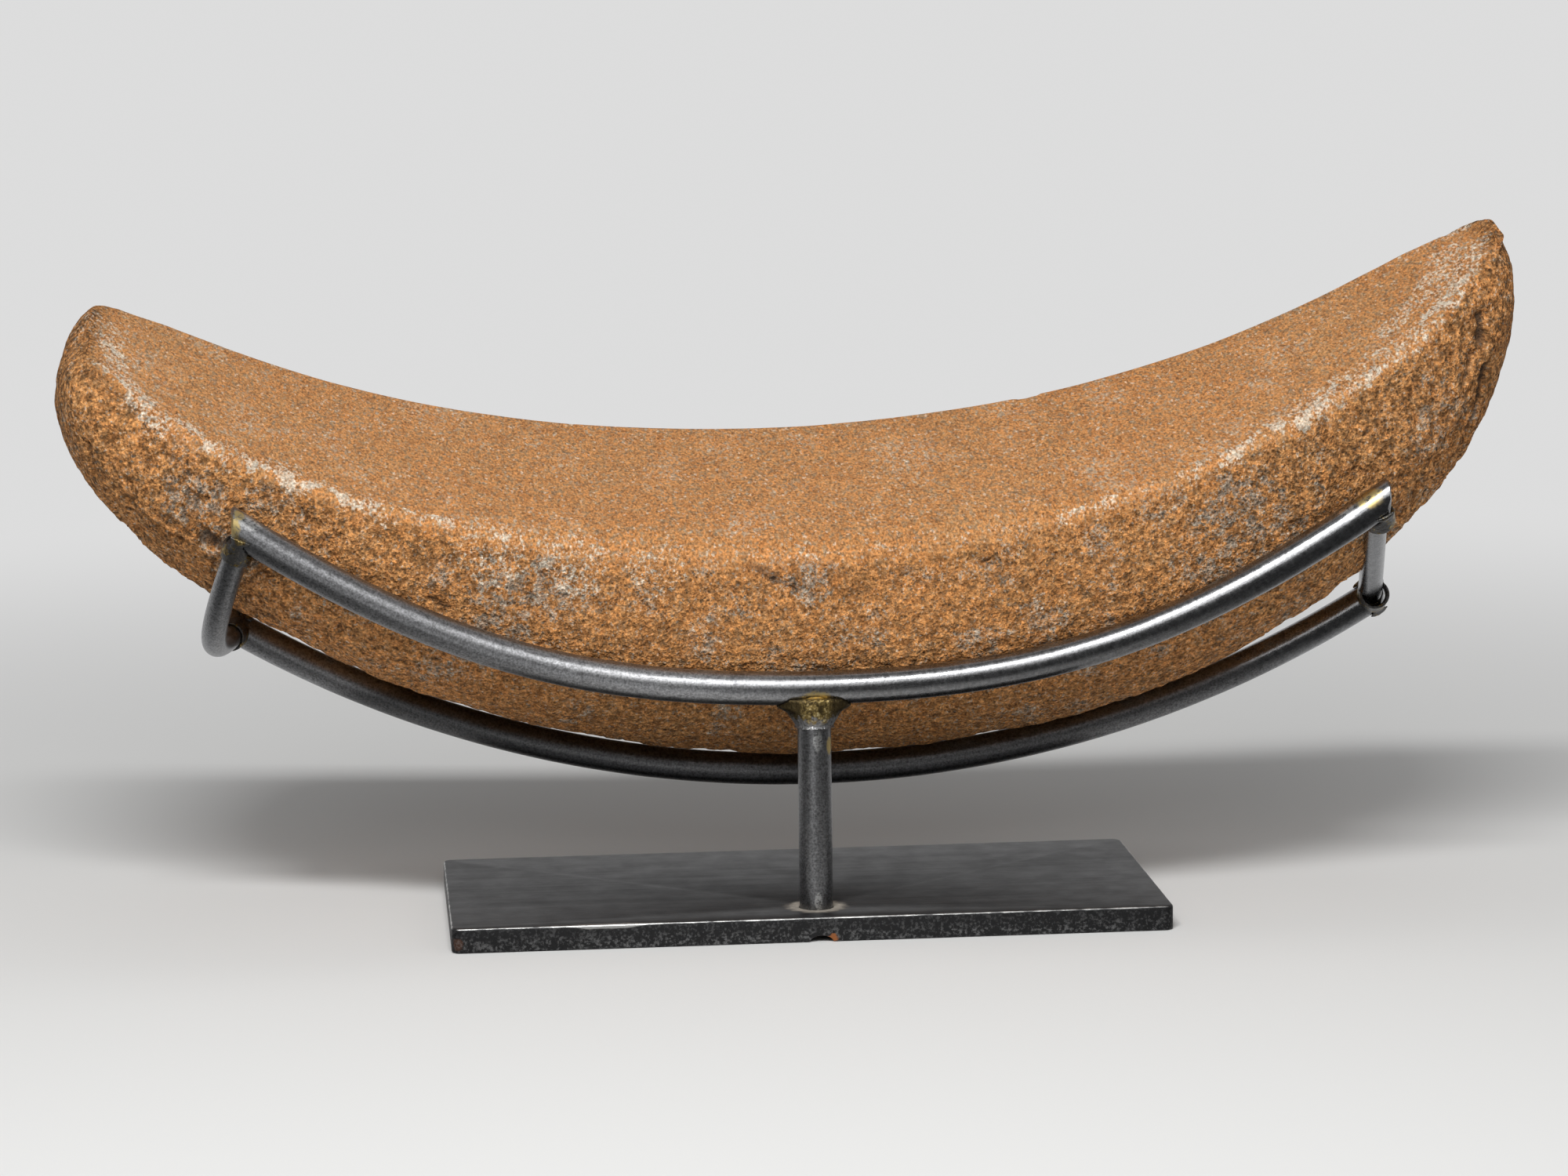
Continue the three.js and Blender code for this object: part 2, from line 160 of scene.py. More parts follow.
class NodeScript:
    """Writes nodes into one tree."""

    def __init__(self, tree: bpy.types.NodeTree) -> None:
        """Starts writing into a tree."""
        self.tree = tree

    def plug(self, entry: bpy.types.NodeSocket, value: Any) -> None:
        """Links a term or an output to a node's input, or sets the input's plain value.

        Args:
            entry: the input.
            value: a term, an output or a plain value.
        """
        if isinstance(value, Term):
            value = value.socket
        if isinstance(value, bpy.types.NodeSocket):
            self.tree.links.new(value, entry)
        else:
            entry.default_value = value

    def node(self, kind: str, inputs: Optional[dict[Any, Any]] = None, **settings: Any) -> bpy.types.Node:
        """Adds a node.

        Args:
            kind: Blender's name of the node type.
            inputs: input name or number to a value, an output or a term.
            settings: the node's own properties.

        Returns:
            The new node.
        """
        made = self.tree.nodes.new(kind)
        for name, value in settings.items():
            setattr(made, name, value)
        for name, value in (inputs or {}).items():
            self.plug(made.inputs[name], value)
        return made

    def term(self, kind: str, inputs: Optional[dict[Any, Any]] = None, output: Union[int, str] = 0,
             **settings: Any) -> Term:
        """Adds a node and takes one of its outputs.

        Args:
            kind: Blender's name of the node type.
            inputs: input name or number to a value, an output or a term.
            output: the output's name or number.
            settings: the node's own properties.

        Returns:
            The output.
        """
        return Term(self, self.node(kind, inputs, **settings).outputs[output])

    def found(self, kind: str) -> bpy.types.Node:
        """The tree's first node of a type."""
        return next(node for node in self.tree.nodes if node.type == kind)

    def maths(self, operation: str, *operands: Number) -> Term:
        """One Math node of one to three numbers or terms."""
        return self.term("ShaderNodeMath", dict(enumerate(operands)), operation=operation)

    def vector(self, x: Number, y: Number, z: Number) -> Term:
        """A vector of three values."""
        return self.term("ShaderNodeCombineXYZ", {0: x, 1: y, 2: z})

    def parts(self, vector: Term) -> tuple[Term, Term, Term]:
        """The three values of a vector."""
        x, y, z = self.node("ShaderNodeSeparateXYZ", {0: vector}).outputs
        return Term(self, x), Term(self, y), Term(self, z)

    def vector_maths(self, operation: str, first: Any, second: Any = None,
                     scale: Optional[Number] = None) -> Term:
        """One Vector Math node.

        Args:
            operation: the node's operation.
            first: a vector.
            second: another vector, where the operation takes one.
            scale: the factor of a SCALE.

        Returns:
            The result, a number for DISTANCE, LENGTH and DOT_PRODUCT and a vector for the rest.
        """
        inputs = {0: first, 1: second, "Scale": scale}
        given = {name: value for name, value in inputs.items() if value is not None}
        output = "Value" if operation in ("DISTANCE", "LENGTH", "DOT_PRODUCT") else "Vector"
        return self.term("ShaderNodeVectorMath", given, output, operation=operation)

    def noise(self, place: Term, feature: Number, detail: float = 2.0, rough: float = 0.5) -> Term:
        """Soft noise from about zero to one.

        Args:
            place: where it is read, in metres.
            feature: rough size of its spots, in metres.
            detail: how many finer layers it holds.
            rough: how strong the finer layers are.

        Returns:
            The noise value.
        """
        inputs = {"Vector": place, "Scale": 1.0 / feature, "Detail": detail, "Roughness": rough}
        return self.term("ShaderNodeTexNoise", inputs)

    def cells(self, place: Term, feature: Number) -> tuple[Term, Term, Term]:
        """Random cells.

        Args:
            place: where they are read, in metres.
            feature: rough size of a cell, in metres.

        Returns:
            The distance to the cell's middle as a share of its size, and two random numbers for each cell.
        """
        made = self.node("ShaderNodeTexVoronoi", {"Vector": place, "Scale": 1.0 / feature})
        pick, tint, _ = self.parts(Term(self, made.outputs["Color"]))
        return Term(self, made.outputs["Distance"]), pick, tint

    def warped(self, place: Term, feature: Number, reach: float) -> Term:
        """A place pushed about at random.

        Args:
            place: the place, in metres.
            feature: rough size of the noise that pushes it, in metres.
            reach: how far it is pushed, as a share of the feature. Half of it is about the most.

        Returns:
            The pushed place.
        """
        inputs = {"Vector": place, "Scale": 1.0 / feature, "Detail": 2.0}
        warp = self.term("ShaderNodeTexNoise", inputs, "Color")
        pushed = self.vector_maths("SUBTRACT", warp, (0.5, 0.5, 0.5))
        return self.vector_maths("ADD", place, self.vector_maths("SCALE", pushed, scale=feature * reach))

    def blend(self, share: Number, first: Any, second: Any) -> Term:
        """Mixes two colours or terms: the first where the share is zero, the second where it is one."""
        colours = {6: self.opaque(first), 7: self.opaque(second)}
        return self.term("ShaderNodeMix", {0: share, **colours}, 2, data_type="RGBA")

    def shade(self, colour: Any, factor: Number) -> Term:
        """A colour made lighter or darker by a factor."""
        grey = self.term("ShaderNodeCombineColor", {0: factor, 1: factor, 2: factor})
        inputs = {0: 1.0, 6: self.opaque(colour), 7: grey}
        return self.term("ShaderNodeMix", inputs, 2, data_type="RGBA", blend_type="MULTIPLY")

    @staticmethod
    def opaque(colour: Any) -> Any:
        """A plain colour with its alpha, and a term as it is."""
        return colour if isinstance(colour, Term) else (*colour, 1.0)


class GeometryScript(NodeScript):
    """A Geometry Nodes tree with named inputs for its sizes."""

    def __init__(self, name: str) -> None:
        """Makes an empty tree with one geometry input and output."""
        super().__init__(bpy.data.node_groups.new(name, "GeometryNodeTree"))
        for way in ("INPUT", "OUTPUT"):
            self.tree.interface.new_socket("Geometry", in_out=way, socket_type="NodeSocketGeometry")
        self.start = self.node("NodeGroupInput")
        self.end = self.node("NodeGroupOutput")
        self.values: dict[str, Any] = {}

    def given(self, label: str, value: float) -> Term:
        """Adds a named number to the tree's inputs.

        Args:
            label: the input's name.
            value: what the modifier sets it to.

        Returns:
            The input as a term.
        """
        socket = self.tree.interface.new_socket(label, in_out="INPUT", socket_type="NodeSocketFloat")
        self.values[socket.identifier] = value
        return Term(self, self.start.outputs[label])

    def geometry(self) -> Term:
        """The geometry that the modifier works on."""
        return Term(self, self.start.outputs["Geometry"])

    def place(self) -> Term:
        """The place of each point."""
        return self.term("GeometryNodeInputPosition")

    def normal(self) -> Term:
        """The outward direction at each point."""
        return self.term("GeometryNodeInputNormal")

    def moved(self, geometry: Term, place: Term) -> Term:
        """The geometry with its points at new places."""
        return self.term("GeometryNodeSetPosition", {0: geometry, "Position": place})

    def swelled(self, geometry: Term, shift: Term) -> Term:
        """The geometry with its points shifted outwards, or inwards where the shift is negative."""
        offset = self.vector_maths("SCALE", self.normal(), scale=shift)
        return self.term("GeometryNodeSetPosition", {0: geometry, "Offset": offset})

    def marked(self, geometry: Term, label: str, value: Term, kind: str = "FLOAT") -> Term:
        """The geometry with a value stored on its points under a name."""
        inputs = {"Geometry": geometry, "Name": label, "Value": value}
        return self.term("GeometryNodeStoreNamedAttribute", inputs, data_type=kind, domain="POINT")

    def mark(self, label: str, kind: str = "FLOAT") -> Term:
        """A value stored on the points."""
        return self.term("GeometryNodeInputNamedAttribute", {"Name": label}, data_type=kind)

    def softened(self, geometry: Term, passes: int, weight: Term) -> Term:
        """The geometry with its points drawn to their neighbours' middle.

        Args:
            geometry: the geometry.
            passes: how many times they are drawn there.
            weight: how strongly, from zero to one.

        Returns:
            The softened geometry.
        """
        inputs = {"Iterations": passes, "Weight": weight}
        blur = self.node("GeometryNodeBlurAttribute", inputs, data_type="FLOAT_VECTOR")
        entry, blurred = (next(socket for socket in sockets if socket.type == "VECTOR" and socket.enabled)
                          for sockets in (blur.inputs, blur.outputs))
        self.plug(entry, self.place())
        return self.moved(geometry, Term(self, blurred))

    def close(self, geometry: Term) -> None:
        """Ends the tree with real geometry in one material, whose input comes last."""
        socket = self.tree.interface.new_socket("Finish", in_out="INPUT", socket_type="NodeSocketMaterial")
        self.material_input = socket.identifier
        real = self.term("GeometryNodeRealizeInstances", {0: geometry})
        dressed = self.term("GeometryNodeSetMaterial", {0: real, "Material": self.start.outputs["Finish"]})
        self.plug(self.end.inputs[0], dressed)

    def run(self, name: str, finish: bpy.types.Material, start: Optional[bpy.types.Mesh] = None,
            remesh: float = 0.0) -> bpy.types.Object:
        """Runs the tree as a modifier and keeps the result as a plain mesh.

        Args:
            name: the piece's name.
            finish: its material.
            start: the mesh that the tree works on, if any.
            remesh: voxel size of a remesh that goes before the tree, in metres, or zero for none.

        Returns:
            The new object, at the origin.
        """
        holder = bpy.data.objects.new(f"{name}_start", start or bpy.data.meshes.new(name))
        bpy.context.scene.collection.objects.link(holder)
        if remesh:
            voxels = holder.modifiers.new("Voxels", "REMESH")
            voxels.mode = "VOXEL"
            voxels.voxel_size = remesh
        modifier = holder.modifiers.new("Shape", "NODES")
        modifier.node_group = self.tree
        for identifier, value in self.values.items():
            modifier[identifier] = value
        modifier[self.material_input] = finish
        graph = bpy.context.evaluated_depsgraph_get()
        mesh = bpy.data.meshes.new_from_object(holder.evaluated_get(graph), preserve_all_data_layers=True,
                                               depsgraph=graph)
        bpy.data.objects.remove(holder)
        piece = bpy.data.objects.new(name, mesh)
        bpy.context.scene.collection.objects.link(piece)
        return piece


class ShaderGroup(NodeScript):
    """A shader node group with named inputs and outputs, built once and placed in several materials."""

    def __init__(self, name: str, numbers: Sequence[str] = (), vectors: Sequence[str] = ("Place",)) -> None:
        """Makes the group with its inputs, vectors first."""
        super().__init__(bpy.data.node_groups.new(name, "ShaderNodeTree"))
        for kind, labels in (("NodeSocketVector", vectors), ("NodeSocketFloat", numbers)):
            for label in labels:
                self.tree.interface.new_socket(label, in_out="INPUT", socket_type=kind)
        self.start = self.node("NodeGroupInput")
        self.end = self.node("NodeGroupOutput")

    def given(self, label: str) -> Term:
        """One of the group's inputs."""
        return Term(self, self.start.outputs[label])

    def gives(self, label: str, value: Term) -> None:
        """Adds a number to the group's outputs."""
        self.tree.interface.new_socket(label, in_out="OUTPUT", socket_type="NodeSocketFloat")
        self.plug(self.end.inputs[label], value)


class EffectGroups:
    """The shared shader groups of all materials."""

    def __init__(self) -> None:
        """Builds every group."""
        self.mottle = self.build_mottle()
        self.grains = self.build_grains()
        self.rubble = self.build_rubble()
        self.streaks = self.build_streaks()
        self.spot = self.build_spot()

    @staticmethod
    def build_mottle() -> ShaderGroup:
        """Cloudy light and dark: noise of a given size, stretched to a given contrast round a half."""
        group = ShaderGroup("mottle", ("Feature", "Contrast"))
        cloud = group.noise(group.given("Place"), group.given("Feature"), detail=3.0, rough=0.6)
        value = (cloud - 0.5) * group.given("Contrast") + 0.5
        group.gives("Value", value.most(0.0).least(1.0))
        return group

    @staticmethod
    def build_grains() -> ShaderGroup:
        """Packed grains of odd shapes, each with two random numbers of its own."""
        group = ShaderGroup("grains", ("Feature",))
        place, feature = group.given("Place"), group.given("Feature")
        _, pick, tint = group.cells(group.warped(place, feature, 1.6), feature)
        group.gives("Pick", pick)
        group.gives("Tint", tint)
        return group

    @staticmethod
    def build_rubble() -> ShaderGroup:
        """Soft broken relief in two sizes, as a height round a half."""
        group = ShaderGroup("rubble", ("Feature",))
        place, feature = group.given("Place"), group.given("Feature")
        coarse = group.noise(place, feature, detail=2.0, rough=0.55)
        fine = group.noise(place, feature * 0.45, detail=2.0, rough=0.55)
        group.gives("Height", coarse * 0.6 + fine * 0.4)
        return group

    @staticmethod
    def build_streaks() -> ShaderGroup:
        """Fine lines along the third axis: noise squeezed across them and drawn out along them."""
        group = ShaderGroup("streaks", ("Feature", "Length"))
        x, y, z = group.parts(group.given("Place"))
        across = group.given("Feature")
        stretched = group.vector(x / across, y / across, z / (across * group.given("Length")))
        group.gives("Value", group.noise(stretched, 1.0, detail=4.0, rough=0.65))
        return group

    @staticmethod
    def build_spot() -> ShaderGroup:
        """A ragged spot: one near a given place, zero away from it, with an edge broken up by noise."""
        group = ShaderGroup("spot", ("Radius", "Ragged", "Feature"), ("Place", "Centre"))
        away = group.vector_maths("DISTANCE", group.given("Place"), group.given("Centre"))
        edge = group.noise(group.given("Place"), group.given("Feature"), detail=3.0)
        ragged = away / group.given("Radius") + (edge - 0.5) * group.given("Ragged")
        group.gives("Mask", ragged.ramp(1.1, 0.7))
        return group


@dataclass(frozen=True)
class Spot:
    """A ragged spot: where it is, how wide, how strong, and how much it is squeezed along each axis."""

    centre: Triple
    radius: float
    strength: float = 1.0
    squeeze: Triple = (1.0, 1.0, 1.0)


class MaterialScript(NodeScript):
    """The node tree of one material, round a Principled BSDF."""

    def __init__(self, name: str, groups: EffectGroups) -> None:
        """Makes the material with its shader."""
        self.material = bpy.data.materials.new(name)
        self.material.use_nodes = True
        super().__init__(self.material.node_tree)
        self.groups = groups
        self.shader = self.found("BSDF_PRINCIPLED")

    def place(self) -> Term:
        """Object coordinates, which are the frame's own."""
        return self.term("ShaderNodeTexCoord", output="Object")

    def mark(self, label: str, kind: str = "Fac") -> Term:
        """A value stored on the mesh."""
        return self.term("ShaderNodeAttribute", output=kind, attribute_name=label)

    def use(self, group: ShaderGroup, output: str, **inputs: Any) -> Term:
        """Places a shared group with its inputs by name, and takes one of its outputs."""
        return self.term("ShaderNodeGroup", inputs, output, node_tree=group.tree)

    def mottle(self, place: Term, feature: float, contrast: float = 2.0) -> Term:
        """Cloudy value from zero to one."""
        return self.use(self.groups.mottle, "Value", Place=place, Feature=feature, Contrast=contrast)

    def grains(self, place: Term, feature: float) -> tuple[Term, Term]:
        """Two random numbers for each grain of the given size."""
        inputs = {"Place": place, "Feature": feature}
        made = self.node("ShaderNodeGroup", inputs, node_tree=self.groups.grains.tree)
        return Term(self, made.outputs["Pick"]), Term(self, made.outputs["Tint"])

    def rubble(self, place: Term, feature: float) -> Term:
        """Height of soft lumps of the given size with finer ones on them."""
        return self.use(self.groups.rubble, "Height", Place=place, Feature=feature)

    def streaks(self, place: Term, feature: float, length: float) -> Term:
        """Fine lines along the third axis of the place."""
        return self.use(self.groups.streaks, "Value", Place=place, Feature=feature, Length=length)

    def spots(self, place: Term, spots: Sequence[Spot], ragged: float, feature: float) -> Term:
        """The mask of several ragged spots together.

        Args:
            place: where it is read.
            spots: the spots, at least one.
            ragged: how much their edges are broken up.
            feature: rough size of what breaks them up, in metres.

        Returns:
            The mask, which is each spot's strength in its middle.
        """
        mask = None
        for spot in spots:
            squeezed = self.vector_maths("MULTIPLY", place, spot.squeeze)
            centre = tuple(a * b for a, b in zip(spot.centre, spot.squeeze))
            here = self.use(self.groups.spot, "Mask", Place=squeezed, Centre=centre, Radius=spot.radius,
                            Ragged=ragged, Feature=feature) * spot.strength
            mask = here if mask is None else mask.most(here)
        return mask

    def feed(self, label: str, value: Any) -> None:
        """Plugs a term into the shader, or sets one of its plain values."""
        self.plug(self.shader.inputs[label], value)

    def bump(self, height: Term, depth: float) -> None:
        """Feeds a height from zero to one, of a given depth in metres, to the shader's normal."""
        inputs = {"Strength": 1.0, "Distance": depth, "Height": height}
        self.feed("Normal", self.term("ShaderNodeBump", inputs))


# Finishes


@dataclass(frozen=True)
class Sandstone:
    """Fine-grained orange-brown sandstone: packed grains of mixed shades, more of them pale or grey where the
    rim is crusted and the flanks are weathered."""

    orange: Colour = (0.60, 0.230, 0.060)
    ochre: Colour = (0.54, 0.285, 0.110)
    dun: Colour = (0.30, 0.215, 0.125)
    brown: Colour = (0.21, 0.086, 0.030)
    grey: Colour = (0.31, 0.282, 0.235)
    pale: Colour = (0.70, 0.620, 0.500)
    dark: Colour = (0.060, 0.042, 0.030)
    grain: float = 0.8 * MILLIMETRE
    dust: float = 1.0 * MILLIMETRE
    crumb: float = 1.7 * MILLIMETRE
    chip: float = 3.2 * MILLIMETRE
    lump: float = 2.9 * MILLIMETRE
    speck: float = 0.9 * MILLIMETRE
    cluster: float = 5.5 * MILLIMETRE
    patch: float = 20 * MILLIMETRE
    field: float = 80 * MILLIMETRE
    crust_below: float = 4.5 * MILLIMETRE
    crust_above: float = 6.0 * MILLIMETRE
    crust_above_left: float = 17.0 * MILLIMETRE
    crust_above_right: float = 24.0 * MILLIMETRE
    relief: float = 3.9 * MILLIMETRE
    face_relief: float = 0.14
    crust_wander: float = 9.0 * MILLIMETRE
    crust_wander_feature: float = 16.0 * MILLIMETRE
    crust_patch: float = 11.0 * MILLIMETRE
    crust_edge: float = 10.0 * MILLIMETRE
    weathered_edge: float = 11.0 * MILLIMETRE
    shift: Triple = (0.31, 0.17, 0.53)
    squeeze: Triple = (1.0, 0.4, 1.0)
    weathered_spots: tuple[Spot, ...] = (
        Spot((0.1683, -0.0405, 0.1538), 0.022),
        Spot((0.1841, -0.0367, 0.1409), 0.016),
        Spot((0.1595, -0.0392, 0.1358), 0.012),
        Spot((-0.1144, -0.0396, 0.1253), 0.016),
        Spot((-0.0967, -0.0409, 0.1309), 0.014),
        Spot((-0.1263, -0.0357, 0.1101), 0.014),
        Spot((-0.2284, -0.0345, 0.1689), 0.013),
        Spot((-0.2130, -0.0350, 0.1509), 0.013),
        Spot((0.0020, -0.0410, 0.1340), 0.011),
    )
    crusted_spots: tuple[Spot, ...] = (
        Spot((-0.2625, 0.0330, 0.2330), 0.017, 0.45),
        Spot((-0.1180, -0.0400, 0.1500), 0.016, 0.40),
        Spot((-0.0880, -0.0400, 0.1460), 0.017, 0.48),
        Spot((-0.0550, -0.0400, 0.1430), 0.014, 0.36),
        Spot((0.2560, -0.0050, 0.2450), 0.016, 0.6),
        Spot((-0.2590, 0.0237, 0.2239), 0.0065, 0.6),
        Spot((-0.2565, 0.0043, 0.2183), 0.0065, 0.7),
        Spot((-0.2520, -0.0108, 0.2124), 0.0065, 0.7),
        Spot((-0.2465, -0.0223, 0.2067), 0.0065, 0.7),
        Spot((-0.2397, -0.0305, 0.2010), 0.0060, 0.6),
        Spot((0.2576, 0.0214, 0.2467), 0.010, 0.6),
        Spot((0.2508, 0.0078, 0.2388), 0.010, 0.6),
        Spot((0.2418, -0.0004, 0.2306), 0.010, 0.6),
        Spot((0.2314, -0.0060, 0.2222), 0.009, 0.55),
        Spot((0.2690, 0.0400, 0.2560), 0.013, 0.7),
    )

    def crust(self, script: MaterialScript, place: Term, rim: Term, wear: Term) -> Term:
        """How strongly the whitish crust of the worn rim shows, which is hardly at all on the far side.

        Args:
            script: the stone's material.
            place: the place on the stone.
            rim: distance from the rim, positive on the face.
            wear: how worn the rim is.

        Returns:
            The crust's strength.
        """
        x, _, _ = script.parts(place)
        wander = (script.mottle(place, self.crust_wander_feature, 2.4) - 0.5) * self.crust_wander
        left, right = x.ramp(-0.10, -0.19), x.ramp(0.12, 0.21)
        above = (self.crust_above + left * (self.crust_above_left - self.crust_above)
                 + right * (self.crust_above_right - self.crust_above))
        off = rim + wander * (1.0 + left + right)
        near_rim = (off / above).most(off / -self.crust_below).ramp(1.15, 0.1)
        ends = x.ramp(-0.10, -0.18).most(x.ramp(0.13, 0.21))
        patchy = script.mottle(place, self.crust_patch, 3.4).ramp(0.30, 0.80)
        front = script.mark("near") * 0.85 + 0.15
        band = near_rim * (ends * 0.50 + patchy * 0.7).least(1.0) * (1.0 - wear * 0.35) * front
        return band.most(script.spots(place, self.crusted_spots, 1.6, self.crust_edge))

    def weathering(self, script: MaterialScript, place: Term, patch: Term, cluster: Term) -> Term:
        """How strongly the flanks are greyed: in odd patches everywhere, and more at a few places.

        Args:
            script: the stone's material.
            place: the place on the stone.
            patch: coarse cloudiness.
            cluster: finer cloudiness, which breaks the grey up.

        Returns:
            The grey's strength.
        """
        spots = script.spots(place, self.weathered_spots, 1.5, self.weathered_edge)
        return (patch.ramp(0.52, 0.85) * 0.8).most(spots) * cluster.ramp(0.15, 0.65)

    def build(self, groups: EffectGroups) -> bpy.types.Material:
        """Makes the material.

        Args:
            groups: the shared effects.

        Returns:
            The material.
        """
        script = MaterialScript("sandstone", groups)
        whole = script.place()
        place = script.vector_maths("MULTIPLY", whole, self.squeeze)
        moved = script.vector_maths("ADD", place, self.shift)
        rim, pit, wear = (script.mark(label) for label in ("rim", "pit", "wear"))
        flank = rim.ramp(0.001, -0.008)
        pick, tint = script.grains(place, self.grain)
        dust = script.mottle(moved, self.dust, 3.0)
        speck = script.mottle(place, self.speck, 4.2)
        crumbs = script.mottle(place, self.crumb, 3.0)
        chips = script.mottle(moved, self.chip, 2.6)
        cluster = script.mottle(moved, self.cluster, 2.5)
        patch = script.mottle(place, self.patch, 2.6)
        field = script.mottle(moved, self.field, 2.2)
        relief = script.rubble(whole, self.lump)
        crust = self.crust(script, whole, rim, wear)
        weathered = self.weathering(script, whole, patch, cluster) * flank

        colour = script.blend(tint * 0.35 + field * 0.3 + cluster * 0.35, self.orange, self.ochre)
        colour = script.blend(crumbs.ramp(0.40, 0.95) * (0.75 - flank * 0.3), colour, self.dun)
        colour = script.blend(cluster.ramp(0.4, 0.0) * (0.20 + flank * 0.10), colour, self.brown)
        colour = script.blend((dust * 0.55 + crumbs * 0.45).ramp(0.42, 0.10) * 0.65, colour, self.brown)
        colour = script.blend(pick.ramp(0.86, 0.96) * 0.5, colour, self.brown)
        greyed = (dust * 0.6 + chips * 0.4 + weathered * 0.52 + crust * 0.22).ramp(0.76, 1.04)
        colour = script.blend(greyed * tint.between(0.50, 0.90), colour, self.grey)
        crusted = (dust * 0.5 + crumbs * 0.5 + crust * 0.68 + weathered * 0.16).ramp(0.78, 1.20)
        colour = script.blend(crusted * tint.between(0.95, 0.45), colour, self.pale)
        hazy = patch.ramp(0.50, 0.95) * crumbs.ramp(0.35, 0.90) * flank.between(0.26, 0.10)
        colour = script.blend(hazy, colour, self.pale)
        colour = script.blend(pick.ramp(0.050, 0.030) * 0.5, colour, self.pale)
        specks = tint.above(0.965 - weathered * 0.08) * flank.between(0.36, 0.60)
        colour = script.blend(specks, colour, self.dark)
        x, _, _ = script.parts(whole)
        # Painted shade: the flank is darkened in the hollows of its bump relief, more deeply towards the stone's
        # ends, as crevice shadow.
        ends = x.size().ramp(0.08, 0.20)
        painted_hollow_shade = relief.ramp(0.36, 0.64).between(0.56 - ends * 0.20, ends * 0.06 + 1.36)
        shades = 0.38 + dust * 0.34 + speck * (0.62 - flank * 0.1) + cluster * 0.10 + patch * 0.08
        tone = shades * flank.between(1.03, painted_hollow_shade * pick.between(0.78, 1.16))
        colour = script.shade(colour, tone)
        # Painted shade: brown is painted into the deeper pecked pits.
        colour = script.blend(pit.ramp(0.0024, 0.0050) * 0.35, colour, self.brown)
        # Painted shade: the gouges are painted dark.
        colour = script.blend(script.mark("scar").ramp(0.0008, 0.0034) * 0.85, colour, self.dark)
        script.feed("Base Color", colour)
        script.feed("Roughness", 0.72 + flank * 0.2)
        script.feed("Specular IOR Level", 0.22)
        script.bump(relief * (self.face_relief + flank * (1.0 - self.face_relief)), self.relief)
        return script.material


@dataclass(frozen=True)
class RodSteel:
    """Bare drawn bar: dark, glossy, scratched along its length, bright from grinding beside the joints, with
    painted highlights.
    """

    steel: Colour = (0.36, 0.362, 0.37)
    scale: Colour = (0.08, 0.082, 0.088)
    bright: Colour = (0.62, 0.62, 0.61)
    gold: Colour = (0.52, 0.40, 0.17)
    line: float = 0.4 * MILLIMETRE
    line_length: float = 26.0
    grain: float = 0.8 * MILLIMETRE
    dent: float = 2.1 * MILLIMETRE
    cloud: float = 13.0 * MILLIMETRE
    spot_edge: float = 2.5 * MILLIMETRE
    spot_ragged: float = 0.8
    relief: float = 0.045 * MILLIMETRE

    def build(self, groups: EffectGroups, ground_and_glint: Sequence[Spot],
              smears: Sequence[Spot]) -> bpy.types.Material:
        """Makes the material.

        Args:
            groups: the shared effects.
            ground_and_glint: spots where the bar is bright from grinding, and spots of painted highlight.
            smears: spots where braze has run over the bar.

        Returns:
            The material.
        """
        script = MaterialScript("rod_steel", groups)
        place = script.place()
        bar = script.mark("bar", "Vector")
        lines = script.streaks(bar, self.line, self.line_length)
        grain = script.mottle(place, self.grain, 2.6)
        dents = script.mottle(place, self.dent, 2.4)
        clouds = script.mottle(place, self.cloud, 2.6)
        x, _, z = script.parts(place)
        on_post = z.ramp(0.088, 0.080)
        grainy = x.ramp(0.03, -0.06).most(on_post)
        speckle = grainy.between(0.3, 0.85)
        plain = 0.15 + lines * 0.45 + grain * speckle + dents * 0.3
        # Painted shade: the post and the left part of the rails are painted darker, standing in for their darker
        # reflections.
        painted_shade = on_post * 0.45 + x.ramp(0.0, -0.14) * 0.24
        colour = script.shade(self.steel, plain * (1.0 - painted_shade))
        colour = script.blend(clouds.ramp(0.82, 1.0) * dents.ramp(0.4, 0.8) * 0.6, colour, self.scale)
        # Bright spots: partly bare steel beside the joints, partly painted highlights, such as the glints on the
        # post.
        bared_and_glint = script.spots(place, ground_and_glint, self.spot_ragged, self.spot_edge)
        bared_and_glint = bared_and_glint * (grain * 0.6 + dents * 0.6).ramp(0.25, 0.65)
        colour = script.blend(bared_and_glint * (0.5 + grain * 0.4), colour, self.bright)
        wetted = script.spots(place, smears, self.spot_ragged, self.spot_edge)
        wetted = wetted * (grain * 0.5 + dents * 0.7).ramp(0.15, 0.6)
        colour = script.blend(wetted * 0.95, colour, self.gold)
        script.feed("Base Color", colour)
        script.feed("Metallic", 1.0)
        script.feed("Roughness", 0.20 + grainy * 0.12 + lines * 0.08 + dents * 0.05 + wetted * 0.1)
        relief = lines * 0.35 + grain * speckle * 0.4 + dents * 0.4
        script.bump(relief * (1.0 - bared_and_glint * 0.7), self.relief)
        return script.material


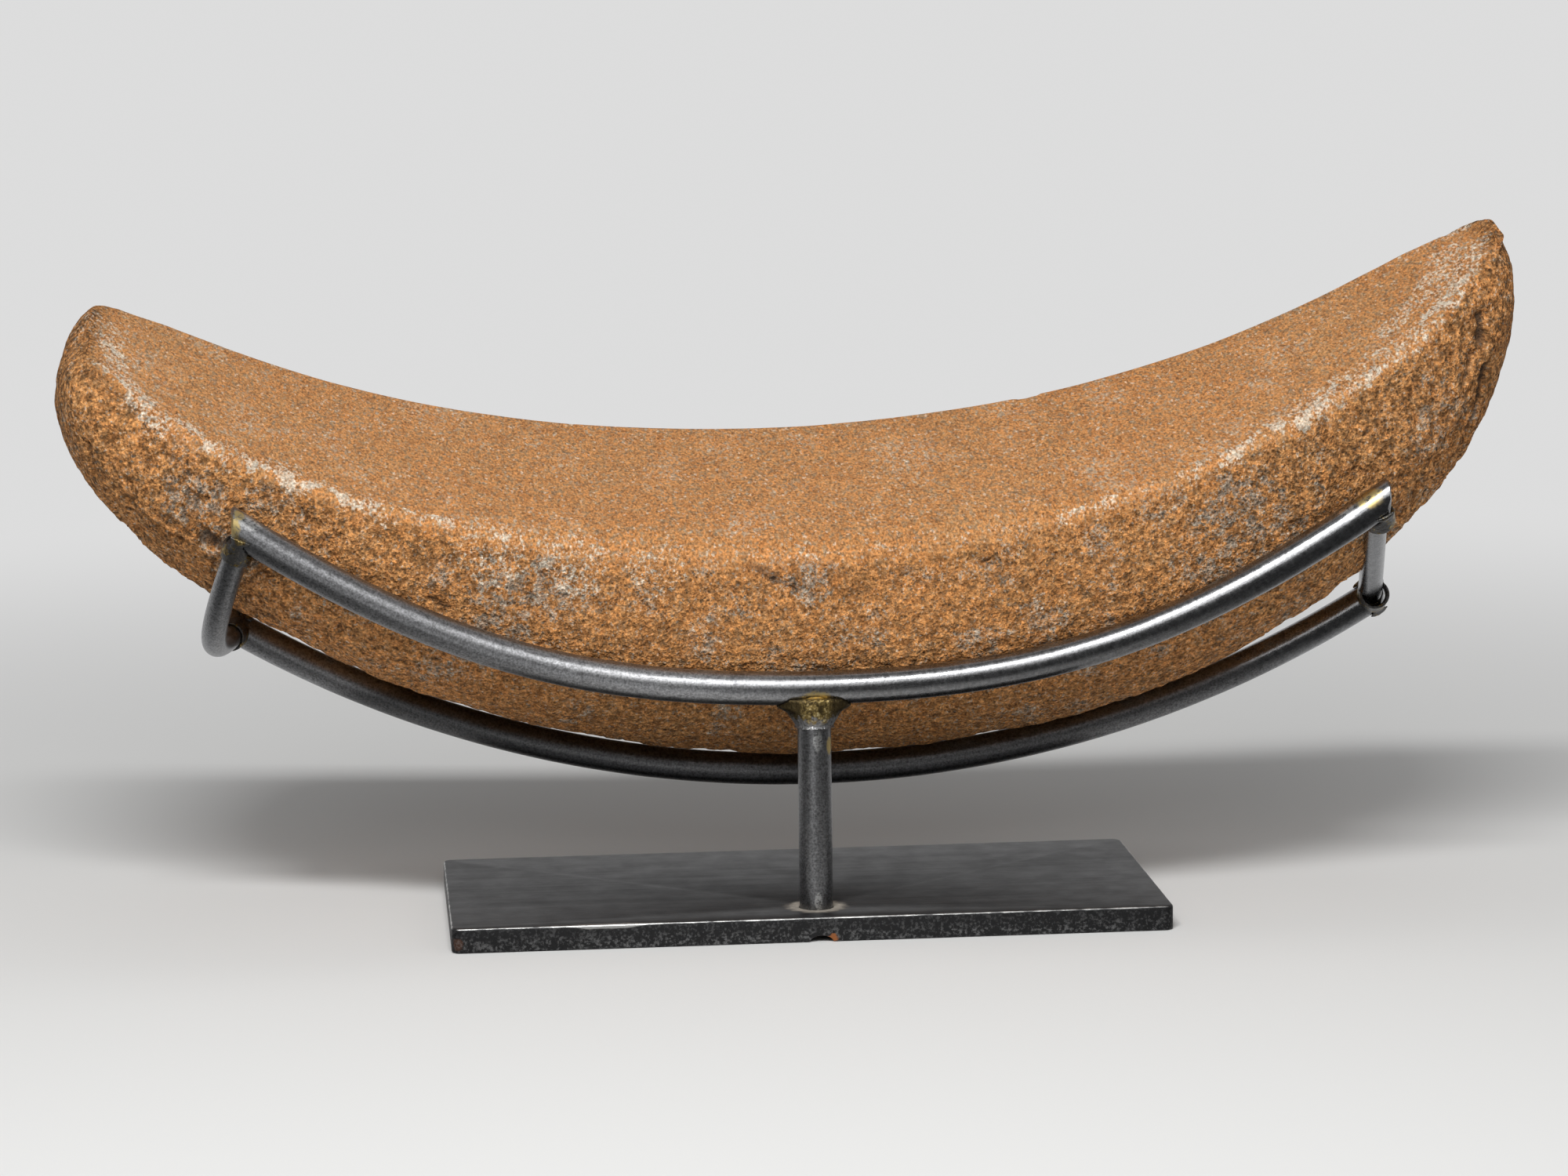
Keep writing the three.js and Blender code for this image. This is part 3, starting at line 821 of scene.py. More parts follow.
@dataclass(frozen=True)
class PlateSteel:
    """Dark cold-rolled plate: soft lines along it, worn edges with a painted highlight along the front top edge,
    dust round the post and a spot of rust.
    """

    top: Colour = (0.074, 0.074, 0.076)
    low_top: Colour = (0.034, 0.034, 0.036)
    side: Colour = (0.031, 0.031, 0.032)
    flecked: Colour = (0.19, 0.19, 0.192)
    bright: Colour = (0.72, 0.72, 0.70)
    dust: Colour = (0.50, 0.45, 0.375)
    rust: Colour = (0.26, 0.085, 0.022)
    wear_and_glint_width: float = 0.75 * MILLIMETRE
    worn_spot_x: float = -0.078
    worn_spot_width: float = 14.0 * MILLIMETRE
    rolled_line: float = 1.6 * MILLIMETRE
    wiped_line: float = 6.0 * MILLIMETRE
    rust_shift: float = 4.2 * MILLIMETRE
    relief: float = 0.09 * MILLIMETRE

    def build(self, groups: EffectGroups, box: tuple[Vector, Vector], post: Vector) -> bpy.types.Material:
        """Makes the material.

        Args:
            groups: the shared effects.
            box: the plate's corners.
            post: the middle of the post's foot on the plate.

        Returns:
            The material.
        """
        low, high = box
        script = MaterialScript("plate_steel", groups)
        place = script.place()
        x, y, z = script.parts(place)
        lengthwise = script.vector(y, z, x)
        rolled = script.streaks(lengthwise, self.rolled_line, 70.0)
        wiped = script.streaks(lengthwise, self.wiped_line, 30.0)
        smudge = script.mottle(place, 0.012, 2.4)
        fine = script.mottle(place, 0.0010, 2.8)
        fleck = script.mottle(place, 0.0045, 2.6)
        on_top = z.ramp(high.z - 0.0011, high.z - 0.0004)
        wiping = wiped.ramp(0.32, 0.68) * 0.7 + rolled.ramp(0.3, 0.7) * 0.3
        tone = script.blend(wiping, self.low_top, self.top)
        downward = z.ramp(high.z - 0.0025, low.z + 0.0015)
        flecks = (fine * 0.65 + fleck * 0.35).ramp(0.42, 0.92) * (0.4 + downward * 0.6)
        colour = script.blend(flecks.least(1.0), self.side, self.flecked)
        colour = script.blend(on_top, colour, tone)
        rim = (y - low.y).size().least((high.y - y).size())
        rim = rim.least((x - low.x).size()).least((high.x - x).size())
        bumpy = script.mottle(place, 0.005, 2.6)
        front = y.ramp(0.0, low.y)
        spot = ((x - self.worn_spot_x) / self.worn_spot_width).size().ramp(1.2, 0.4) * front
        # Worn edges: bare metal on the rims, made stronger along the front top edge as a painted highlight.
        width = self.wear_and_glint_width * (0.55 + bumpy * 0.5 + spot * 1.8)
        worn = (rim / width).ramp(1.0, 0.55) * ((high.z - z) / width).ramp(1.0, 0.55)
        strength = (0.45 + front * 0.25) * (0.30 + bumpy * 0.8 + spot).least(1.0)
        colour = script.blend(worn * strength, colour, self.bright)
        ring = script.spots(place, [Spot(tuple(post), 0.0122)], 0.35, 0.003) * on_top
        grit = script.mottle(place, 0.0014, 1.8)
        colour = script.blend(ring * (0.40 + grit * 0.4), colour, self.dust)
        notch = Spot((post.x + self.rust_shift, low.y, 0.0012), 0.0021)
        stain = Spot((low.x + 0.002, low.y, 0.0035), 0.0026, 0.22)
        rusty = script.spots(place, [notch], 1.3, 0.0014).most(script.spots(place, [stain], 1.2, 0.003))
        colour = script.blend(rusty, colour, self.rust)
        matt = ring.most(rusty)
        script.feed("Base Color", colour)
        script.feed("Metallic", 0.92 - matt * 0.9)
        script.feed("Roughness", 0.46 + smudge * 0.1 + matt * 0.4 - worn * 0.12)
        script.bump(fine * (1.0 - on_top * 0.75) * 0.7 + rolled * 0.3, self.relief)
        return script.material


@dataclass(frozen=True)
class Braze:
    """Olive-gold brazing metal: soft ripples, dark flux in its recesses, pale glints painted on its lumps as
    highlights, bare steel where it is filed.
    """

    name: str = "braze"
    filed_share: float = 0.0
    middle_x: float = 0.0
    bright_reach: float = 0.0
    lower_edge: float = 0.0
    lump: float = 2.4 * MILLIMETRE
    grain: float = 0.9 * MILLIMETRE
    filed_patch: float = 5.0 * MILLIMETRE
    edge_width: float = 1.2 * MILLIMETRE
    relief: float = 0.3 * MILLIMETRE
    gold: Colour = (0.27, 0.190, 0.064)
    pale: Colour = (0.70, 0.60, 0.34)
    flux: Colour = (0.050, 0.036, 0.016)
    steel: Colour = (0.10, 0.102, 0.105)
    bare: Colour = (0.34, 0.342, 0.35)

    def build(self, groups: EffectGroups) -> bpy.types.Material:
        """Makes the material.

        Args:
            groups: the shared effects.

        Returns:
            The material.
        """
        script = MaterialScript(self.name, groups)
        place = script.place()
        lumps = script.mottle(place, self.lump, 2.8)
        fine = script.mottle(place, self.grain, 2.8)
        filed = script.mottle(place, self.filed_patch, 2.6)
        filed = filed.ramp(1.0 - self.filed_share, 0.85 - self.filed_share)
        colour = script.blend((lumps * 0.6 + fine * 0.4).ramp(0.70, 0.26) * 0.9, self.gold, self.flux)
        # Painted highlights: pale glints on the tops of the lumps.
        colour = script.blend(fine.ramp(0.55, 0.95) * lumps.ramp(0.3, 0.9) * 0.8, colour, self.pale)
        if self.bright_reach:
            x, _, z = script.parts(place)
            off = (x - self.middle_x).size() / self.bright_reach
            colour = script.blend((off + lumps * 0.4).ramp(0.95, 1.35) * 0.9, colour, self.flux)
            below = ((z - self.lower_edge) / self.edge_width + (lumps - 0.5) * 3.0).ramp(0.9, -0.9)
            colour = script.blend(below * 0.95, colour, script.shade(self.bare, 0.45 + fine * 0.55))
        if self.filed_share:
            colour = script.blend((1.0 - filed) * 0.9, colour, self.steel)
        script.feed("Base Color", colour)
        script.feed("Metallic", 0.9)
        script.feed("Roughness", 0.26 + fine * 0.2)
        script.bump(lumps * 0.55 + fine * 0.45, self.relief)
        return script.material


@dataclass(frozen=True)
class WeldSteel:
    """Ground plug weld under the plate, dull and touched by rust."""

    steel: Colour = (0.20, 0.19, 0.185)
    rust: Colour = (0.30, 0.12, 0.04)
    swirl: float = 3.0 * MILLIMETRE
    grain: float = 0.8 * MILLIMETRE
    relief: float = 0.3 * MILLIMETRE

    def build(self, groups: EffectGroups) -> bpy.types.Material:
        """Makes the material.

        Args:
            groups: the shared effects.

        Returns:
            The material.
        """
        script = MaterialScript("weld_steel", groups)
        place = script.place()
        swirl = script.mottle(place, self.swirl, 2.6)
        fine = script.mottle(place, self.grain, 2.0)
        script.feed("Base Color", script.blend(swirl.ramp(0.45, 0.85), self.steel, self.rust))
        script.feed("Metallic", 0.7)
        script.feed("Roughness", 0.5 + fine * 0.25)
        script.bump(swirl * 0.5 + fine * 0.5, self.relief)
        return script.material


# Meshes


def merged_copy(node: str) -> bpy.types.Mesh:
    """A copy of a frame node's mesh with its loose triangles joined."""
    mesh = bpy.data.objects[node].data.copy()
    mesh.name = f"{node}_copy"
    shape = bmesh.new()
    shape.from_mesh(mesh)
    bmesh.ops.remove_doubles(shape, verts=shape.verts, dist=0.01 * MILLIMETRE)
    shape.to_mesh(mesh)
    shape.free()
    return mesh


def line_mesh(name: str, points: Iterable[Vector]) -> bpy.types.Mesh:
    """A mesh of one open line."""
    places = [tuple(point) for point in points]
    mesh = bpy.data.meshes.new(name)
    mesh.from_pydata(places, [(i, i + 1) for i in range(len(places) - 1)], [])
    return mesh


def shade_smooth(piece: bpy.types.Object, crease: float = math.radians(32)) -> None:
    """Shades a piece smooth, with its edges sharper than the crease kept hard."""
    for face in piece.data.polygons:
        face.use_smooth = True
    piece.data.set_sharp_from_angle(angle=crease)


def file_flat(piece: bpy.types.Object, place: Vector, outward: Vector) -> None:
    """Cuts off what lies beyond a plane and closes the cut.

    Args:
        piece: the piece.
        place: a point of the plane.
        outward: which way lies what is cut off.
    """
    shape = bmesh.new()
    shape.from_mesh(piece.data)
    everything = [*shape.verts, *shape.edges, *shape.faces]
    cut = bmesh.ops.bisect_plane(shape, geom=everything, plane_co=place, plane_no=outward.normalized(),
                                 clear_outer=True, dist=0.001 * MILLIMETRE)
    rim = [item for item in cut["geom_cut"] if isinstance(item, bmesh.types.BMEdge)]
    bmesh.ops.holes_fill(shape, edges=rim, sides=0)
    bmesh.ops.recalc_face_normals(shape, faces=shape.faces)
    shape.to_mesh(piece.data)
    shape.free()


def settle(piece: bpy.types.Object, body: Body, node: str) -> bpy.types.Object:
    """Hands a finished piece to the frame and reports it.

    Args:
        piece: the piece.
        body: the body it moves with.
        node: the frame node it stands for.

    Returns:
        The piece.
    """
    low, high = (Vector(map(pick, *(vertex.co for vertex in piece.data.vertices))) for pick in (min, max))
    frame_low, frame_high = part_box(node)
    off = max(abs(a - b) for a, b in zip((*low, *high), (*frame_low, *frame_high)))
    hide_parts(node)
    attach(piece, body.value)
    faces = len(piece.data.polygons)
    log.info("%s: %d faces, within %.2f mm of its frame node", piece.name, faces, off / MILLIMETRE)
    return piece


@dataclass(frozen=True)
class Scar:
    """A short gouge between two places, in the frame's axes.

    Its thinness is the share of the distance across the stone that counts. It is less than one for a scar in the
    front flank, so that it cuts through the worn rim too.
    """

    start: Triple
    end: Triple
    radius: float
    depth: float
    thinness: float = 1.0


@dataclass(frozen=True)
class StoneEnd:
    """How one end of the stone closes in plan and in depth, and how far it reaches out below the face."""

    plan_power: float
    plan_root: float
    depth_power: float
    depth_root: float
    splay_share: float


@dataclass
class GrindingStone:
    """The boat-shaped lower stone: its form, and what tools and wear have done to its surface."""

    half_length: float = 0.2726
    half_width: float = 0.0818
    thickness: float = 0.1096
    flank_depth: float = 0.043
    flank_depth_most_share: float = 0.45
    rim_inset: float = 0.0049
    hollow_radius: float = 0.589
    end_lift: float = 0.0221
    right_extra_lift: float = 0.0053
    left: StoneEnd = StoneEnd(2.57, 5.0, 1.3, 2.68, 0.032)
    right: StoneEnd = StoneEnd(2.02, 2.7, 3.22, 2.07, -0.163)
    belly_power: float = 1.72
    behind_front_rail: float = 0.0041
    across: float = 0.0068
    face_height: float = 0.1616
    turn_degrees: Triple = (11.06, -2.01, -1.54)

    stations: int = 400
    face_strips: int = 56
    side_strips: int = 92
    flank_strip_share: float = 0.24
    edge_passes: int = 4
    wear_passes: int = 70
    end_passes: int = 22

    peck: float = 6.5 * MILLIMETRE
    peck_depth: float = 1.5 * MILLIMETRE
    lump_depth: float = 1.5 * MILLIMETRE
    ripple_depth: float = 1.5 * MILLIMETRE
    end_swell: float = 1.6 * MILLIMETRE
    left_end_edge: float = 9.0 * MILLIMETRE
    right_end_edge: float = 11.0 * MILLIMETRE
    end_edge_depth_share: float = 0.35
    face_ripple: float = 0.3 * MILLIMETRE
    worn_middle: float = -0.012
    worn_reach: float = 0.125
    merge_distance: float = 0.02 * MILLIMETRE
    wobble: float = 12.0 * MILLIMETRE
    wobble_feature: float = 18.0 * MILLIMETRE
    lump_feature: float = 26.0 * MILLIMETRE
    ripple_feature: float = 5.5 * MILLIMETRE
    face_feature: float = 50.0 * MILLIMETRE
    scar_feature: float = 4.0 * MILLIMETRE
    wear_depth: float = 8.0 * MILLIMETRE
    scars: tuple[Scar, ...] = (
        Scar((-0.0192, -0.0431, 0.1405), (-0.0128, -0.0432, 0.1360), 0.0030, 0.0026, 0.3),
        Scar((-0.0110, -0.0432, 0.1352), (-0.0019, -0.0432, 0.1302), 0.0018, 0.0026, 0.3),
        Scar((0.2625, -0.0236, 0.2270), (0.2630, -0.0238, 0.2157), 0.0022, 0.0030),
        Scar((0.2645, -0.0205, 0.2060), (0.2628, -0.0161, 0.1907), 0.0028, 0.0062),
        Scar((0.2620, -0.0150, 0.1870), (0.2604, -0.0113, 0.1805), 0.0025, 0.0050),
        Scar((0.2600, -0.0080, 0.1760), (0.2585, -0.0010, 0.1690), 0.0026, 0.0040),
        Scar((0.2590, -0.0257, 0.2130), (0.2560, -0.0262, 0.2010), 0.0018, 0.0022),
        Scar((-0.2660, -0.0225, 0.1900), (-0.2640, -0.0170, 0.1790), 0.0020, 0.0030),
        Scar((-0.2600, -0.0080, 0.1680), (-0.2560, 0.0010, 0.1600), 0.0024, 0.0036),
        Scar((-0.2520, -0.0236, 0.1681), (-0.2450, -0.0245, 0.1610), 0.0018, 0.0030),
        Scar((-0.2421, -0.0251, 0.1591), (-0.2335, -0.0269, 0.1533), 0.0020, 0.0032),
        Scar((-0.1412, -0.0389, 0.1303), (-0.1334, -0.0389, 0.1263), 0.0014, 0.0026, 0.5),
        Scar((0.0643, -0.0444, 0.1391), (0.0693, -0.0444, 0.1405), 0.0014, 0.0024, 0.3),
        Scar((-0.0850, 0.1017, 0.1790), (-0.0810, 0.1017, 0.1785), 0.0034, 0.0018),
        Scar((0.0235, 0.1002, 0.1759), (0.0265, 0.1002, 0.1759), 0.0028, 0.0014),
        Scar((0.1030, 0.0976, 0.1870), (0.1070, 0.0976, 0.1876), 0.0030, 0.0014),
        Scar((-0.0990, -0.0412, 0.1393), (-0.0978, -0.0412, 0.1388), 0.0014, 0.0034, 0.3),
        Scar((-0.0538, 0.0027, 0.1566), (-0.0528, 0.0027, 0.1566), 0.0014, 0.0028),
        Scar((-0.2284, -0.0345, 0.1689), (-0.2240, -0.0330, 0.1539), 0.0036, 0.0018, 0.5),
        Scar((-0.2240, -0.0330, 0.1539), (-0.2130, -0.0350, 0.1509), 0.0032, 0.0018, 0.5),
    )

    def script(self) -> GeometryScript:
        """Writes the stone as a Geometry Nodes tree: the loft, the worn rim and the pecked flanks."""
        tree = GeometryScript("grinding_stone")
        strips = self.face_strips + 2 * self.side_strips
        counts = {"Size X": 1.0, "Size Y": 1.0, "Vertices X": self.stations + 1, "Vertices Y": strips + 1}
        grid = tree.term("GeometryNodeMeshGrid", counts)
        run, turn, _ = tree.parts(tree.place())
        share = -((run + 0.5) * math.pi).cosine()
        section = Section(self, tree, share, (turn + 0.5) * float(strips))
        marked = tree.marked(tree.marked(grid, "rim", section.rim()), "near", section.near())
        marked = tree.marked(marked, "bevel", section.bevel())
        loft = tree.moved(marked, section.place())
        joined = tree.term("GeometryNodeMergeByDistance", {0: loft, "Distance": self.merge_distance})
        rim, near = tree.mark("rim"), tree.mark("near")
        x, _, _ = tree.parts(tree.place())
        off_middle = (x - tree.given("Worn middle", self.worn_middle)).size()
        worn = near * off_middle.ramp(tree.given("Worn reach", self.worn_reach), 0.05)
        joined = tree.marked(joined, "wear", worn)
        wear = tree.mark("wear")
        bevel = tree.mark("bevel")
        edged = tree.softened(joined, self.edge_passes, rim.size().ramp(0.012, 0.004))
        edged = tree.softened(edged, self.end_passes, bevel.ramp(0.0, 0.0032))
        rounded = tree.softened(edged, self.wear_passes, rim.size().ramp(0.034, 0.014) * wear)
        cut = tree.marked(rounded, "pit", self.depth(tree, rim, wear))
        cut = tree.marked(cut, "scar", self.scarring(tree))
        tree.close(tree.swelled(cut, -(tree.mark("pit") + tree.mark("scar") + bevel)))
        return tree

    def depth(self, tree: GeometryScript, rim: Term, wear: Term) -> Term:
        """How far the surface lies below the smooth form.

        Args:
            tree: the stone's tree.
            rim: distance from the rim, positive on the face.
            wear: how worn the rim is.

        Returns:
            The depth, in metres.
        """
        place = tree.place()
        x, _, _ = tree.parts(place)
        off_middle = x.size()
        wobble = (tree.noise(place, self.wobble_feature, 2.0) - 0.5) * self.wobble
        rough_from = off_middle.ramp(0.20, 0.24).between(-0.008, -0.022)
        flank = (rim + wobble + wear * self.wear_depth).ramp(0.001, rough_from)
        middle, pick, _ = tree.cells(place, tree.given("Peck size", self.peck))
        peck = middle.ramp(0.62, 0.1) * pick.ramp(0.25, 0.9) * tree.given("Peck depth", self.peck_depth)
        lumps = tree.noise(place, self.lump_feature, 1.0).ramp(0.3, 0.75)
        lumps = lumps * tree.given("Lump depth", self.lump_depth)
        ripple = tree.noise(place, self.ripple_feature, 4.0, 0.6).ramp(0.3, 0.72)
        ripple = ripple * tree.given("Ripple depth", self.ripple_depth)
        rugged = 0.75 + off_middle.ramp(0.12, 0.24) * 0.4 - off_middle.ramp(0.256, 0.270) * 0.75
        smooth = tree.noise(place, self.face_feature, 2.0).ramp(0.3, 0.75)
        smooth = smooth * tree.given("Face ripple", self.face_ripple)
        swell = off_middle.ramp(0.205, 0.262) * tree.given("End swell", self.end_swell)
        return smooth + flank * (rugged * (peck + lumps + ripple) - swell)

    def scarring(self, tree: GeometryScript) -> Term:
        """How deep the scars go, as a term of the stone's tree."""
        place = tree.place()
        ragged = (tree.noise(place, self.scar_feature, 3.0) - 0.5) * 1.2
        depth = 0.0
        for scar in self.scars:
            away = self.from_scar(tree, place, scar) / scar.radius + ragged
            depth = away.ramp(1.25, 0.3) * scar.depth + depth
        return depth

    def from_scar(self, tree: GeometryScript, place: Term, scar: Scar) -> Term:
        """Distance from the line of a scar.

        Args:
            tree: the stone's tree.
            place: the points, in the stone's own axes.
            scar: the scar, in the frame's axes.

        Returns:
            The distance, in metres.
        """
        back = self.seat().inverted()
        thin = (1.0, scar.thinness, 1.0)
        ends = (back @ Vector(point) for point in (scar.start, scar.end))
        start, end = (Vector(a * b for a, b in zip(point, thin)) for point in ends)
        way = end - start
        from_start = tree.vector_maths("SUBTRACT", tree.vector_maths("MULTIPLY", place, thin), tuple(start))
        along = tree.vector_maths("DOT_PRODUCT", from_start, tuple(way)) / way.length_squared
        nearest = tree.vector_maths("SCALE", tuple(way), scale=along.most(0.0).least(1.0))
        return tree.vector_maths("DISTANCE", from_start, nearest)

    def seat(self) -> Matrix:
        """The stone's place in the cradle: its widest line lies a little behind the front rail's axis."""
        low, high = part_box("front_rail")
        tilt = math.radians(self.turn_degrees[0])
        bulge = self.half_width * math.cos(tilt) - self.flank_depth * math.sin(tilt)
        place = Vector((self.across, (low.y + high.y) / 2 + self.behind_front_rail + bulge, self.face_height))
        turn = Euler([math.radians(angle) for angle in self.turn_degrees], "XYZ")
        return Matrix.Translation(place) @ turn.to_matrix().to_4x4()

    def build(self, finish: bpy.types.Material) -> bpy.types.Object:
        """Makes the stone, places it in the cradle and hands it to the frame.

        Args:
            finish: the sandstone.

        Returns:
            The stone.
        """
        piece = self.script().run("quern_stone", finish)
        piece.data.transform(self.seat())
        shade_smooth(piece, SMOOTH_ALL_ROUND)
        return settle(piece, Body.STONE, "grinding_stone")


class Section:
    """One cross-section of the stone at a share of its half length, as terms."""

    def __init__(self, stone: GrindingStone, tree: GeometryScript, share: Term, strip: Term) -> None:
        """Works out the section's sizes.

        Args:
            stone: the stone's sizes.
            tree: the tree they are written into.
            share: place along the stone, from -1 to 1.
            strip: place round the section, in strips, from the front rim over the face.
        """
        self.tree = tree
        self.share = share
        self.on_right = share.above(0.0)
        labels = [field.name for field in fields(StoneEnd)]
        end = {label: self.by_end(label, getattr(stone.left, label), getattr(stone.right, label))
               for label in labels}
        far = share.size().least(1.0)
        most_wide = tree.given("Half width", stone.half_width)
        self.most_deep = tree.given("Thickness", stone.thickness)
        half_width = most_wide * (1.0 - far ** end["plan_power"]).most(0.0) ** (1.0 / end["plan_root"])
        thickness = self.most_deep * (1.0 - far ** end["depth_power"]).most(0.0) ** (1.0 / end["depth_root"])
        flank_depth = tree.given("Flank depth", stone.flank_depth)
        widest = (thickness * stone.flank_depth_most_share).least(flank_depth)
        inset = tree.given("Rim inset", stone.rim_inset) * half_width / most_wide
        self.splay = end["splay_share"]
        self.length = tree.given("Half length", stone.half_length)
        self.lift = tree.given("End lift", stone.end_lift)
        self.extra = tree.given("Right extra lift", stone.right_extra_lift)
        self.bend = tree.given("Hollow radius", stone.hollow_radius)

        face = float(stone.face_strips)
        self.on_side = strip.above(face)
        rim_across = half_width - inset
        face_across = rim_across * (strip * (2.0 / face) - 1.0)
        round_side = (strip - face) / float(stone.side_strips) - 1.0
        down = 1.0 - round_side.size()
        flank_down = (down / stone.flank_strip_share).least(1.0)
        belly_down = ((down - stone.flank_strip_share) / (1.0 - stone.flank_strip_share)).most(0.0)
        angle = belly_down * (math.pi / 2)
        power = 2.0 / tree.given("Belly power", stone.belly_power)
        bulge = (half_width - inset * (1.0 - flank_down) ** 2.0) * angle.cosine().most(0.0) ** power
        side_across = bulge * -(round_side.sign())
        self.across = self.on_side.between(face_across, side_across)
        side_depth = widest * flank_down + (thickness - widest) * angle.sine().most(0.0) ** power
        self.below = self.on_side * side_depth
        to_end = (1.0 - far) * self.length * 1.1
        self.to_rim = (rim_across - face_across.size()).least(to_end)
        edge = self.by_end("end edge", stone.left_end_edge, stone.right_end_edge)
        self.end_edge = edge * far.ramp(0.86, 0.985)
        self.edge_depth_share = tree.given("End edge depth share", stone.end_edge_depth_share)

    def by_end(self, label: str, left: float, right: float) -> Term:
        """One named input for each of the stone's ends, and the one that holds here."""
        on_left = self.tree.given(f"Left {label}", left)
        return self.on_right.between(on_left, self.tree.given(f"Right {label}", right))

    def place(self) -> Term:
        """The point itself, in the stone's own axes."""
        share = self.share
        x = self.length * share
        z = x * x / (self.bend * 2.0) + self.extra * share ** 3.0 + self.lift * share ** 4.0
        rise = self.extra * share ** 2.0 * 3.0 + self.lift * share ** 3.0 * 4.0
        slope = x / self.bend + rise / self.length
        along_x = 1.0 / (slope * slope + 1.0) ** 0.5
        along_z = slope * along_x
        outward = self.splay * x * self.below / self.most_deep
        return self.tree.vector(x + along_z * self.below + along_x * outward, self.across,
                                z - along_x * self.below + along_z * outward)

    def rim(self) -> Term:
        """Distance from the worn rim: positive on the face and negative down the flank. At the stone's ends
        it runs a little inside the face."""
        return self.on_side.between(self.to_rim, -self.below) - self.end_edge

    def near(self) -> Term:
        """One on the front half and zero on the back."""
        return self.across.ramp(0.01, -0.01)

    def bevel(self) -> Term:
        """How far the sharp edge is taken down at the stone's ends, mostly in front."""
        from_edge = self.on_side.between(self.to_rim, self.below)
        depth = (self.end_edge - from_edge).most(0.0) * self.edge_depth_share
        return depth * (self.near() * 0.7 + 0.3)


@dataclass
class RoundBar:
    """A round bar that follows a line of points."""

    name: str
    diameter: float
    sides: int = 48
    ripple: float = 0.10 * MILLIMETRE
    short_dent: float = 11.0 * MILLIMETRE
    long_dent: float = 28.0 * MILLIMETRE

    def script(self) -> GeometryScript:
        """Writes the tree that thickens a line and stores where each point lies along and round it."""
        tree = GeometryScript(self.name)
        line = tree.term("GeometryNodeMeshToCurve", {0: tree.geometry()})
        line = tree.marked(line, "run", tree.term("GeometryNodeSplineParameter", output="Length"))
        sizes = {"Resolution": self.sides, "Radius": tree.given("Radius", self.diameter / 2)}
        circle = tree.term("GeometryNodeCurvePrimitiveCircle", sizes, mode="RADIUS")
        ring = tree.marked(circle, "ring", tree.place(), "FLOAT_VECTOR")
        swept = tree.term("GeometryNodeCurveToMesh", {0: line, 1: ring, "Fill Caps": True})
        x, y, _ = tree.parts(tree.mark("ring", "FLOAT_VECTOR"))
        straight = tree.vector(x, y, tree.mark("run"))
        bar = tree.marked(swept, "bar", straight, "FLOAT_VECTOR")
        dents = tree.noise(straight, self.short_dent, 2.0) + tree.noise(straight, self.long_dent, 1.0) - 1.0
        tree.close(tree.swelled(bar, dents * tree.given("Ripple", self.ripple)))
        return tree

    def build(self, points: Iterable[Vector], finish: bpy.types.Material) -> bpy.types.Object:
        """Sweeps the bar along the points."""
        return self.script().run(self.name, finish, line_mesh(self.name, points))


